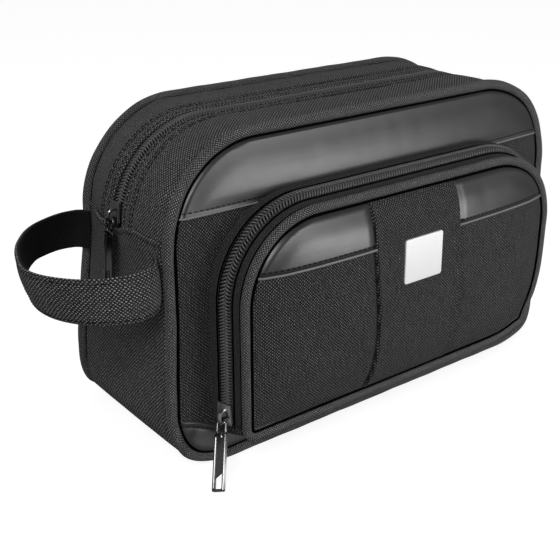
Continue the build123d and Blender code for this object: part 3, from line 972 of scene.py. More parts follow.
@dataclass(frozen=True)
class BagLines:
    """The lines that the body's pieces are sewn along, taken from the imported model.

    Attributes:
        top_radius: The radius of the top corners, at the piping's middle.
        low_radius: The radius of the base corners, at the piping's middle.
        cloth: The thickness of the body's cloth.
        zip_y: The depth of the main zip's middle.
        zip_gap: The width that the cloth leaves over the main zip.
        tape_inset: How far the tapes lie under the cloth's outer face.
        side_seam: The height of the seam between the zip strips and the lower gusset.
        leather_seam: The height of the seam under the front panel's leather.
        top_pull: How far the top of each panel leans in.
        base_spread: How far the base spreads under the load.
        side_spread: How far the sides spread near the base.
        rear_pull: How far the rear of the left side leans in at the top.
        rear_right: How far the rear of the right side leans out at the top.
        corner_fill: How much fuller the corners are than their drawn curves.
    """

    top_radius: float = 52.0
    low_radius: float = 30.0
    cloth: float = 1.6
    zip_y: float = 1.5
    zip_gap: float = 10.4
    tape_inset: float = 1.9
    side_seam: float = 116.0
    leather_seam: float = 133.0
    top_pull: float = 3.9
    base_spread: float = 4.6
    side_spread: float = 1.8
    rear_pull: float = 8.0
    rear_right: float = 4.0
    corner_fill: float = 2.2

    @property
    def piping_radius(self) -> float:
        """Half the thickness of the piping."""
        low, high = span("front_piping")
        return (high.y - low.y) / 2

    @property
    def piping_y(self) -> float:
        """How far the piping's middle lies from the middle of the bag."""
        low, high = span("rear_piping")
        return (high.y + low.y) / 2

    @property
    def seam(self) -> Outline:
        """The middle line of the piping."""
        low, high = span("front_piping")
        r = self.piping_radius
        return Outline(
            (high.x - low.x) / 2 - r, low.z + r, high.z - r, self.top_radius, self.low_radius
        )

    @property
    def wrap(self) -> Outline:
        """The outer face of the cloth round the sides, top and base."""
        low, high = span("lower_gusset")
        strip_high = span("zip_gusset_front")[1].z
        return Outline(
            (high.x - low.x) / 2, low.z, strip_high, self.top_radius, self.low_radius
        )

    @property
    def edge_y(self) -> float:
        """Where the cloth round the sides meets the piping."""
        return span("lower_gusset")[1].y

    @property
    def face_y(self) -> float:
        """How far the panels' outer faces lie from the middle of the bag."""
        return span("back_panel")[1].y

    def settle(self, points: np.ndarray) -> np.ndarray:
        """Lets the filled bag settle: its top leans in and its base spreads.

        The left top corner keeps its curve, because the zip's slider runs along it.

        Args:
            points: Points of the body as drawn.

        Returns:
            The same points where they settle.
        """
        x, y, z = points[..., 0], points[..., 1], points[..., 2]
        top, base = ramp(z, 118.0, 172.0), ramp(z, 34.0, 0.0)
        deep = y * (1.0 + (self.base_spread * base - self.top_pull * top) / self.piping_y)
        half = self.seam.half_width
        side = ramp(np.abs(x), half - 34.0, half)
        rear_left = self.rear_pull * ramp(z, 34.0, 128.0) * ramp(y, 9.0, 44.0) * ramp(x, 0.0, -half)
        rear_left = rear_left + self.rear_right * top * ramp(y, 0.0, 44.0) * ramp(x, 20.0, half)
        wide = x + np.sign(x) * side * self.side_spread * ramp(z, 92.0, 34.0) + rear_left
        wide = wide + self.side_spread * side * (x > 0) * ramp(z, 135.0, 60.0)
        full = bump(z, 10.0, 15.0) * bump(np.abs(x), half - 9.0, 16.0)
        wide = wide + np.sign(x) * self.corner_fill * full
        z = z - self.corner_fill * full * np.clip(z / 12.0, 0.0, 1.0)
        crest = bump(x, half - 15.0, 22.0) * bump(z, 150.0, 20.0)
        wide, z = wide + self.corner_fill * crest, z + 0.6 * self.corner_fill * crest
        return np.stack([wide, deep, z], -1)

    def settled(self, sheet: Sheet) -> Sheet:
        """The same grid where it settles."""
        return replace(sheet, points=self.settle(sheet.points))


@dataclass
class BodyCloth:
    """The canvas round the sides, base and top, with the piping in its seams.

    Attributes:
        bench: Where pieces are made.
        lines: The bag's own lines.
        step: The distance between rows of points.
        fold: How far the folded edge beside the zip stands up.
        stitch_rows: How far each row of stitches lies from the folded edge.
        puff: How far the sides swell between the seams.
        tuck: How far the cloth dips beside the piping.
        lap: How far the lower gusset laps over the zip strips.
        pull_bed: How far the side is pressed in behind the hanging pull tab.
        creases: Depth, rise and half thickness of the painted shade lines: near-black cords laid in the groove on
            each side of the piping, where only shade falls.
    """

    bench: Bench
    lines: BagLines
    step: float = 2.0
    fold: float = 0.3
    stitch_rows: tuple[float, ...] = (1.9, 7.2, 9.8)
    puff: float = 1.5
    tuck: float = 3.0
    lap: float = 6.0
    pull_bed: float = 2.3
    creases: tuple[tuple[float, float, float], ...] = ((0.5, -3.3, 1.0), (-3.5, -0.9, 0.85))

    def seam_height(self, depth: np.ndarray) -> np.ndarray:
        """The height of the side seam, lowest under the zip."""
        away = np.abs(np.asarray(depth, float) - self.lines.zip_y) - self.lines.zip_gap / 2
        climb = np.where(np.asarray(depth, float) > self.lines.zip_y, 2.0, 4.8)
        return self.lines.side_seam + 1.4 + climb * (1.0 - np.exp(-np.maximum(away, 0.0) / 6.0))

    def strip_rise(self, away: np.ndarray, width: float) -> np.ndarray:
        """The relief of a zip strip's outer face.

        Args:
            away: Distances from the folded edge beside the zip.
            width: The strip's whole width.

        Returns:
            How far the face stands out at each distance.
        """
        rise = 0.9 * np.sin(np.pi * np.clip(away / width, 0.0, 1.0)) ** 0.8
        rise = rise + self.fold * ramp(away, 2.4, 1.2)
        for row in self.stitch_rows:
            rise = rise - 0.28 * bump(away, row, 0.7)
        return rise - self.tuck * ramp(away, width - 2.6, width - 0.2)

    def zip_strip(self, side: int, stands_for: str) -> None:
        """Makes the strip on one side of the main zip, with its stitches.

        Args:
            side: -1 for the front strip and 1 for the rear one.
            stands_for: The node that it replaces.
        """
        lines, wrap = self.lines, self.lines.wrap
        edge = lines.zip_y + side * lines.zip_gap / 2
        width = abs(side * lines.edge_y - edge)
        ends = (wrap.run_at(lines.side_seam - self.lap), wrap.run_at(lines.side_seam - self.lap, False))
        runs = spread(*ends, self.step)
        away = np.concatenate([spread(0.0, 12.0, 0.45), spread(13.0, width, 1.2)])
        rise = self.strip_rise(away, width)
        curl = np.linspace(0.15, 0.95, 6) * np.pi
        half = lines.cloth / 2
        nose = np.stack([-half * np.sin(curl), self.fold - half + half * np.cos(curl)], -1)
        inner = np.linspace(1.0, width, 12)
        under = np.stack([inner, np.full(12, -lines.cloth) - self.tuck * ramp(inner, width - 4, width)], -1)
        section = np.concatenate([np.stack([away, rise], -1)[::-1], nose, under])
        section[:, 0] = edge + side * (section[:, 0] + half)
        ripple = Ripple(0.35, 52.0, 1.0 + side)
        body = np.repeat(section[None], len(runs), 0)
        free = ramp(np.abs(section[:, 0] - edge), 3.0, 14.0)
        body[..., 1] += ripple.height(section[None, :, 0], runs[:, None]) * free[None]
        strip = sweep(wrap, runs, body)
        name = "zip_strip_front" if side < 0 else "zip_strip_rear"
        self.bench.sew(name, [lines.settled(strip)], [Skin.CANVAS], (stands_for,))
        stitches = []
        for row in self.stitch_rows:
            line = np.array([[edge + side * (row + half), float(self.strip_rise(np.array(row), width)) + 0.06]])
            path = lines.settle(sweep(wrap, runs[2:-2], line, closed=False).points[:, 0])
            out = wrap.at(runs[2:-2])[1]
            up = np.stack([out[:, 0], np.zeros(len(out)), out[:, 1]], -1)
            stitches += Thread().row(path, up)
        self.bench.sew(f"{name}_stitches", stitches, [Skin.THREAD])

    def lower_gusset(self) -> None:
        """Makes the canvas round the sides and the base, lapped over the zip strips."""
        lines, wrap = self.lines, self.lines.wrap
        start = wrap.run_at(lines.side_seam, False) - wrap.length
        end = wrap.run_at(lines.side_seam)
        edge = lines.edge_y
        depth = np.concatenate([spread(-edge, -edge + 5, 0.6), spread(-edge + 6, edge - 6, 2.2),
                                spread(edge - 5, edge, 0.6)])
        inner = np.linspace(edge, -edge, 20)
        edge_rows = np.array([0.0, 0.25, 0.6, 1.1, 1.8, 2.6, 3.6, 5.0])
        runs = np.concatenate([start + edge_rows, spread(start + 7, end - 7, self.step),
                               end - edge_rows[::-1]])
        section = np.concatenate([np.stack([depth, np.zeros(len(depth))], -1),
                                  np.stack([inner, np.full(20, -lines.cloth)], -1)])
        top_share = ramp(runs, end - 26, end) + ramp(runs, start + 26, start)
        lift = self.seam_height(section[:, 0]) - lines.side_seam
        sign = np.where(runs > (start + end) / 2, 1.0, -1.0)
        grid_runs = runs[:, None] + (sign * top_share)[:, None] * lift[None]
        outer = np.arange(len(section)) < len(depth)
        y = section[:, 0]
        swell = self.puff * (1.0 - (y / edge) ** 4)
        facing = wrap.at(runs)[1][:, 1]
        standing = ramp(facing, -0.75, -0.2)
        rise = swell[None] * standing[:, None]
        rise = rise - (self.tuck * ramp(np.abs(y), edge - 2.6, edge - 0.2))[None] * (0.35 + 0.65 * standing)[:, None]
        rise = rise + Ripple(0.45, 58.0, 2.1).height(y[None], runs[:, None]) * standing[:, None]
        height = wrap.at(runs)[0][:, 1] * (wrap.at(runs)[0][:, 0] < 0)
        rise = rise - self.pull_bed * ramp(height, 72.0, 96.0)[:, None] * bump(y, lines.zip_y, 9.0)[None]
        close = np.minimum(runs - start, end - runs)
        lap = 0.9 * ramp(close, 14.0, 3.0) + 0.4 * bump(close, 0.9, 0.9) - 0.3 * bump(close, 3.0, 0.8)
        lap = lap - 1.3 * ramp(close, 0.5, 0.0)
        rise = rise + np.where(outer[None], lap[:, None], 0.9 * ramp(close, 14.0, 3.0)[:, None])
        body = np.stack([np.broadcast_to(y, rise.shape), section[None, :, 1] + rise], -1)
        gusset = sweep(wrap, grid_runs, body)
        self.bench.sew("side_and_base_gusset", [lines.settled(gusset)], [Skin.CANVAS], ("lower_gusset",))
        stitches = []
        row = int(np.argmin(np.abs(close[: len(close) // 2] - 2.6)))
        columns = np.arange(3, len(depth) - 3)
        for at_row in (row, len(runs) - 1 - row):
            path = lines.settle(gusset.points[at_row, columns])
            path = path[np.argsort(path[:, 1])]
            out = wrap.at(grid_runs[at_row, columns])[1]
            up = np.stack([out[:, 0], np.zeros(len(out)), out[:, 1]], -1)
            stitches += Thread().row(path, up)
        self.bench.sew("side_seam_stitches", stitches, [Skin.THREAD])

    def piping(self, side: int, stands_for: str) -> None:
        """Makes the covered cord in one seam, with the seam allowance that holds it and painted shade lines in the
        grooves beside it.

        Args:
            side: -1 for the front seam and 1 for the rear one.
            stands_for: The node that it replaces.
        """
        lines, seam = self.lines, self.lines.seam
        runs = np.linspace(0, seam.length, 520, endpoint=False)
        section = ring(lines.piping_radius, 28, (side * lines.piping_y, 0.0))
        body = np.repeat(section[None], len(runs), 0)
        centre = np.array([side * lines.piping_y, 0.0])
        swell = 1.0 + 0.025 * np.sin(runs / 7.3) + 0.02 * np.sin(runs / 3.1 + 1.0)
        swell = np.minimum(swell, 1.0 + 0.3 / lines.piping_radius)
        body = centre + (body - centre) * swell[:, None, None]
        cord = sweep(seam, runs, body, loop=True)
        welt = np.array([[side * (lines.piping_y - 1.0), -1.0], [side * (lines.piping_y + 1.0), -1.0],
                         [side * (lines.piping_y + 1.0), -7.0], [side * (lines.piping_y - 1.0), -7.0]])
        tail = sweep(seam, runs, welt, loop=True)
        name = "front_seam_piping" if side < 0 else "rear_seam_piping"
        self.bench.sew(name, [lines.settled(cord), lines.settled(tail)], [Skin.PIPING], (stands_for,))
        # Painted shade: near-black cords in the grooves on each side of the piping.
        creases = []
        for depth, rise, radius in self.creases:
            line = ring(radius, 10, (side * (lines.piping_y + depth), rise))
            creases.append(lines.settled(sweep(seam, runs, line, loop=True)))
        self.bench.sew(f"{name}_creases", creases, [Skin.PAINTED_SHADE_LINE])

    def inner_wraps(self) -> None:
        """Makes the seam bindings and the lining that follow the body's cloth inside."""
        lines, seam = self.lines, self.lines.seam
        runs = np.linspace(0, seam.length, 260, endpoint=False)
        for side, node in ((-1, "front_seam_binding"), (1, "rear_seam_binding")):
            low, high = span(node)
            inset = seam.half_width - high.x
            flat = Binding(inset, low.y, high.y).section()
            strip = sweep(seam, runs, flat, loop=True)
            self.bench.sew(f"{node}_tape", [lines.settled(strip)], [Skin.BINDING], (node,))
        low, high = span("lining_gusset")
        inset = seam.half_width - high.x
        start = seam.run_at(lines.side_seam - self.lap, False) - seam.length
        end = seam.run_at(lines.side_seam - self.lap)
        around = sweep(seam, spread(start, end, 3.0), Binding(inset, low.y, high.y, 0.5).section())
        strips = [around]
        slot = lines.zip_gap / 2 + 2.0
        over = spread(end, seam.length + start, 3.0)
        strips.append(sweep(seam, over, Binding(inset, low.y, lines.zip_y - slot, 0.5).section()))
        strips.append(sweep(seam, over, Binding(inset, lines.zip_y + slot, high.y, 0.5).section()))
        self.bench.sew("gusset_lining", [lines.settled(s) for s in strips], [Skin.LINING], ("lining_gusset",))

    def build(self) -> None:
        """Makes every piece of the body's cloth."""
        self.zip_strip(-1, "zip_gusset_front")
        self.zip_strip(1, "zip_gusset_rear")
        self.lower_gusset()
        self.piping(-1, "front_piping")
        self.piping(1, "rear_piping")
        self.inner_wraps()


@dataclass(frozen=True)
class Binding:
    """The flat section of a strip that lies along a seam.

    Attributes:
        inset: How far its outer face lies inside the seam.
        front: The depth of its front edge.
        back: The depth of its back edge.
        thickness: Its thickness.
    """

    inset: float
    front: float
    back: float
    thickness: float = 1.1

    def section(self) -> np.ndarray:
        """The strip's cross section, with soft edges."""
        columns = np.linspace(self.front, self.back, 10)
        lift = 0.25 * np.sin(np.linspace(0, np.pi, 10))
        outer = np.stack([columns, lift - self.inset - 0.2], -1)
        inner = np.stack([columns[::-1], lift - self.inset - 0.2 - self.thickness], -1)
        return np.concatenate([outer, inner])


@dataclass
class Panels:
    """The front and back of the body: leather over nylon in front, canvas behind.

    Attributes:
        bench: Where pieces are made.
        lines: The bag's own lines.
        filling: The cloth simulation that swells them.
        inset: How far the panels' edges lie inside the piping's middle.
        puff: How far the padded panels swell.
        shoulder: How far from the seam the swelling reaches its height.
        raise_by: How far leather lies over the cloth that it is sewn to.
        band_top: The height of the base band's edge.
        band_side: The height that the edge rises to at the sides.
        band_reach: How far from the middle the edge starts to rise.
    """

    bench: Bench
    lines: BagLines
    filling: Filling
    inset: float = 2.3
    puff: float = 2.4
    shoulder: float = 13.0
    raise_by: float = 0.9
    band_top: float = 17.0
    band_side: float = 30.0
    band_reach: float = 92.0

    @cached_property
    def relief(self) -> Relief:
        """How the filling swells the panels."""
        return self.filling.relief(self.lines.seam)

    def face(self, x: np.ndarray, z: np.ndarray, side: int, lift: float = 0.0) -> np.ndarray:
        """Points on a panel's outer face.

        Args:
            x: Where the points are across the panel.
            z: Their heights.
            side: -1 for the front and 1 for the back.
            lift: How far the points lie over the face.

        Returns:
            The settled points.
        """
        lines = self.lines
        depth = lines.seam.inside(x, z)
        full = 1.0 - np.exp(-np.maximum(depth - self.inset, 0.0) / self.shoulder)
        if side < 0:
            full = full * (0.3 + 0.7 * ramp(z, 128.0, 152.0))
        out = lines.face_y + self.puff * full - 2.8 * ramp(depth, self.inset + 2.4, self.inset - 0.4)
        free = 1.0 if side > 0 else ramp(z, 130.0, 142.0)
        out = out + 0.6 * self.relief.at(side * x, z) * free * ramp(depth, 3.0, 14.0)
        out = out + Ripple(0.14, 90.0, 1.4 + side).height(x, z) * ramp(depth, 4.0, 20.0)
        return lines.settle(np.stack([x, side * (out + lift), z], -1))

    def patch(self, low: float, high: float, side: int, lift: float = 0.0, step: float = 2.2) -> Sheet:
        """A stretch of panel between two heights, from seam to seam."""
        line = self.lines.seam.grown(-self.inset)
        z = line.heights(max(low, line.low), min(high, line.high), step)
        share = np.sin(np.linspace(-1, 1, 121) * np.pi / 2)
        share = 0.55 * share + 0.45 * np.linspace(-1, 1, 121)
        x = line.reach(z)[:, None] * share[None]
        z = np.repeat(z[:, None], x.shape[1], 1)
        sheet = Sheet(self.face(x, z, side, lift), np.stack([x, z], -1))
        if side > 0:
            sheet = replace(sheet, points=sheet.points[:, ::-1], cloth=sheet.cloth[:, ::-1])
        return sheet

    def leather(self) -> None:
        """Makes the front panel's leather, folded under along its seam, with a pale rolled edge that is a painted
        highlight, and its stitches.
        """
        lines, seam_z = self.lines, self.lines.leather_seam
        line = self.lines.seam.grown(-self.inset)
        sheet = self.patch(seam_z + 1.4, 400.0, -1, self.raise_by)
        fold = [(-0.35, -0.5), (-0.3, 0.25), (0.0, 0.75), (0.6, 1.05), (1.0, 1.0)]
        rows, maps = [], []
        share = sheet.cloth[0, :, 0] / float(line.reach(np.array(seam_z + 1.4)))
        for up, lift in fold:
            z = np.full(len(share), seam_z + up)
            x = line.reach(z) * share
            rows.append(self.face(x, z, -1, lift))
            maps.append(np.stack([x, z], -1))
        points = np.concatenate([np.array(rows), sheet.points])
        cloth = np.concatenate([np.array(maps), sheet.cloth])
        whole = Sheet(points, cloth)
        piece = self.bench.sew("front_leather", [whole], [Skin.LEATHER], ("front_panel_leather",))
        thicken(piece, 0.7)
        x = spread(-125.6, 125.6, 1.5)
        # Painted highlight: the rolled edge takes the pale leather for the shine along its ridge.
        roll = tube(self.face(x, np.full(len(x), seam_z + 0.2), -1, 0.75), 0.6, 12)
        self.bench.sew("front_leather_edge", [roll], [Skin.LEATHER_EDGE_HIGHLIGHT])
        path = self.face(x, np.full(len(x), seam_z + 2.6), -1, self.raise_by + 0.05)
        self.bench.sew("front_leather_stitches", Thread().row(path, np.tile([0.0, -1.0, 0.2], (len(x), 1))),
                       [Skin.THREAD])

    def nylon(self) -> None:
        """Makes the nylon between the leather and the base band."""
        sheet = self.patch(9.0, self.lines.leather_seam + 8.0, -1)
        piece = self.bench.sew("front_nylon", [sheet], [Skin.NYLON], ("front_panel_fabric",))
        thicken(piece, 1.4)

    def band_edge(self, x: np.ndarray) -> np.ndarray:
        """The height of the base band's upper edge."""
        return self.band_top + (self.band_side - self.band_top) * ramp(np.abs(x), self.band_reach, 130.0)

    def band(self) -> None:
        """Makes the leather band along the base, with a rolled upper edge."""
        line = self.lines.seam.grown(-self.inset)
        x = np.concatenate([spread(-127.4, -100.0, 0.9), spread(-98.0, 98.0, 2.5), spread(100.0, 127.4, 0.9)])
        flat = line.half_width - line.low_radius
        over = np.clip(np.abs(x) - flat, 0.0, line.low_radius)
        floor = line.low + line.low_radius - np.sqrt(line.low_radius**2 - over**2)
        top = np.maximum(self.band_edge(x), floor + 0.3)
        share = np.concatenate([np.linspace(0, 0.7, 8), 0.7 + 0.3 * np.linspace(0.15, 1, 9)])
        z = floor[None] + share[:, None] * (top - floor)[None]
        down = top[None] - z
        lift = self.raise_by + 0.75 * bump(down, 1.3, 1.1) - 0.35 * bump(down, 3.4, 0.8)
        lift = lift - (self.raise_by + 1.2) * ramp(down, 0.7, 0.0)
        grid_x = np.repeat(x[None], len(share), 0)
        points = np.stack([self.face(grid_x[k], z[k], -1) for k in range(len(share))])
        points[..., 1] -= lift
        whole = Sheet(points, np.stack([grid_x, z], -1))
        piece = self.bench.sew("base_band", [whole], [Skin.BAND], ("front_panel_band",))
        thicken(piece, 0.7)
        path = self.face(x, top - 3.3, -1, self.raise_by - 0.2)
        self.bench.sew("base_band_stitches", Thread().row(path, np.tile([0.0, -1.0, 0.0], (len(x), 1))),
                       [Skin.THREAD])

    def back(self) -> None:
        """Makes the plain canvas back."""
        piece = self.bench.sew("back_canvas", [self.patch(0.0, 400.0, 1)], [Skin.CANVAS], ("back_panel",))
        thicken(piece, 1.4)

    def inner_layer(self, node: str, side: int, behind: float, thickness: float, skin: Skin) -> None:
        """Makes a layer that lies inside a panel.

        Args:
            node: The node that it replaces.
            side: -1 for the front and 1 for the back.
            behind: How far it lies behind the panel's outer face.
            thickness: Its thickness.
            skin: Its finish.
        """
        layer = replace(self, inset=5.4)
        sheet = layer.patch(0.0, 400.0, side, -behind, 5.0)
        piece = self.bench.sew(f"{node}_layer", [sheet], [skin], (node,))
        thicken(piece, thickness)

    def build(self) -> None:
        """Makes both panels and what lies behind them."""
        self.leather()
        self.nylon()
        self.band()
        self.back()
        self.inner_layer("front_foam", -1, 1.9, 1.5, Skin.FOAM)
        self.inner_layer("back_foam", 1, 1.9, 1.5, Skin.FOAM)
        self.inner_layer("lining_front", -1, 3.7, 0.5, Skin.LINING)
        self.inner_layer("lining_back", 1, 3.7, 0.5, Skin.LINING)


@dataclass(frozen=True)
class Teeth:
    """One row of a moulded coil, seen as slanted bars that meet the other row.

    Attributes:
        pitch: The distance from one tooth to the next.
        half: Half the width of both rows.
        height: How far the bars stand over the tape.
        slant: How far a bar's inner end is ahead of its outer end.
        radius: Half a bar's thickness.
    """

    pitch: float = 1.65
    half: float = 2.9
    height: float = 2.2
    slant: float = 1.5
    radius: float = 0.52

    def row(
        self, place: "callable", start: float, end: float, side: int, shift: float = 0.0
    ) -> list[Sheet]:
        """Makes a row of teeth.

        Args:
            place: Gives the point at a run, a distance across the chain and a height over it.
            start: The run of the first tooth.
            end: The run of the last tooth.
            side: -1 or 1, for the side of the chain that the row is on.
            shift: How far the row is ahead of the other one.

        Returns:
            One small grid for each tooth.
        """
        across = np.array([1.0, 0.97, 0.8, 0.45, 0.08, -0.02]) * self.half * side
        up = np.array([0.12, 0.62, 0.95, 1.0, 0.82, 0.35]) * (self.height - self.radius) + 0.3
        ahead = np.array([0.0, 0.02, 0.2, 0.55, 0.95, 1.0]) * self.slant
        girth = self.radius * np.array([0.8, 1.0, 1.0, 1.05, 1.1, 0.7])
        turn = np.linspace(0, 2 * np.pi, 8, endpoint=False)
        sheets = []
        for run in np.arange(start + shift, end, self.pitch):
            middle = np.array([place(run + a, c, u) for a, c, u in zip(ahead, across, up)])
            heading = np.gradient(middle, axis=0)
            heading /= np.linalg.norm(heading, axis=1, keepdims=True)
            along = place(run + 0.5, 0.0, 1.0) - place(run - 0.5, 0.0, 1.0)
            along = along[None] - heading * (heading @ along)[:, None]
            along /= np.linalg.norm(along, axis=1, keepdims=True)
            third = np.cross(heading, along)
            points = middle[:, None] + girth[:, None, None] * (
                0.92 * np.cos(turn)[None, :, None] * along[:, None]
                + np.sin(turn)[None, :, None] * third[:, None]
            )
            cloth = np.stack(np.broadcast_arrays(turn[None, :], up[:, None]), -1)
            sheets.append(Sheet(points, cloth, wrap_columns=True, period=(6.3, 0.0), capped=True))
        return sheets


@dataclass
class MainZip:
    """The zip over the top: tapes under the strips' edges and two rows of teeth.

    Attributes:
        bench: Where pieces are made.
        lines: The bag's own lines.
        tape_width: The width of each tape.
        slot: Half the gap between the tapes.
        tape_cloth: The tapes' thickness.
        teeth: The shape of the teeth.
    """

    bench: Bench
    lines: BagLines
    tape_width: float = 13.0
    slot: float = 1.5
    tape_cloth: float = 0.6
    teeth: Teeth = Teeth()

    def place(self, run: float, across: float, up: float) -> np.ndarray:
        """A point at a run, a distance across the chain and a height over the tapes."""
        at, out = self.lines.wrap.at(np.array([run]))
        flat = at[0] + out[0] * (up - self.lines.tape_inset)
        return np.array([flat[0], self.lines.zip_y + across, flat[1]])

    def tape(self, side: int) -> None:
        """Makes one tape, with a low rib beside the teeth and a painted shade line along the tape beside the teeth.
        """
        lines, wrap = self.lines, self.lines.wrap
        seam = lines.side_seam - self.tape_cloth * 10
        runs = spread(wrap.run_at(seam), wrap.run_at(seam, False), 2.0)
        across = np.concatenate([spread(self.slot, 5.6, 0.35), spread(6.5, self.tape_width, 1.3)])
        rise = 0.12 * bump(across, 3.4, 0.3) + 0.1 * bump(across, 4.4, 0.25)
        outer = np.stack([across, rise - lines.tape_inset], -1)
        inner = np.stack([across[::-1], np.full(len(across), -lines.tape_inset - self.tape_cloth)], -1)
        section = np.concatenate([outer, inner])
        section[:, 0] = lines.zip_y + side * section[:, 0]
        node = "main_zip_tape_front" if side < 0 else "main_zip_tape_rear"
        strip = lines.settled(sweep(wrap, runs, section))
        self.bench.sew(f"{node}_cloth", [strip], [Skin.TAPE], (node,))
        # Painted shade: a near-black cord along the tape beside the teeth, in the gap where shade falls.
        line = ring(0.55, 8, (lines.zip_y + side * (self.teeth.half + 1.35), 0.2 - lines.tape_inset))
        self.bench.sew(f"{node}_thread", [lines.settled(sweep(wrap, runs, line))], [Skin.PAINTED_SHADE_LINE])

    def build(self) -> None:
        """Makes the tapes and the two rows of teeth, and dresses the far stop."""
        start_low = span("main_zip_coil_front")[0]
        start = self.lines.wrap.run_at(start_low.z) + 0.6
        end = self.lines.wrap.run_at(span("main_zip_end_stop")[1].z, False) - 0.6
        start = self.lines.wrap.run_at(float(self.chain_start()))
        for side in (-1, 1):
            self.tape(side)
            node = "main_zip_coil_front" if side < 0 else "main_zip_coil_rear"
            shift = 0.0 if side < 0 else self.teeth.pitch / 2
            row = self.teeth.row(self.place, start, end, side, shift)
            row = [self.lines.settled(s) for s in row]
            self.bench.sew(f"{node}_teeth", row, [Skin.COIL], (node,))
        self.bench.dress("main_zip_end_stop", Skin.SLIDER)

    def chain_start(self) -> float:
        """The height at which the teeth come out of the slider."""
        low, high = span("main_slider")
        return low.z + (high.z - low.z) * 0.36


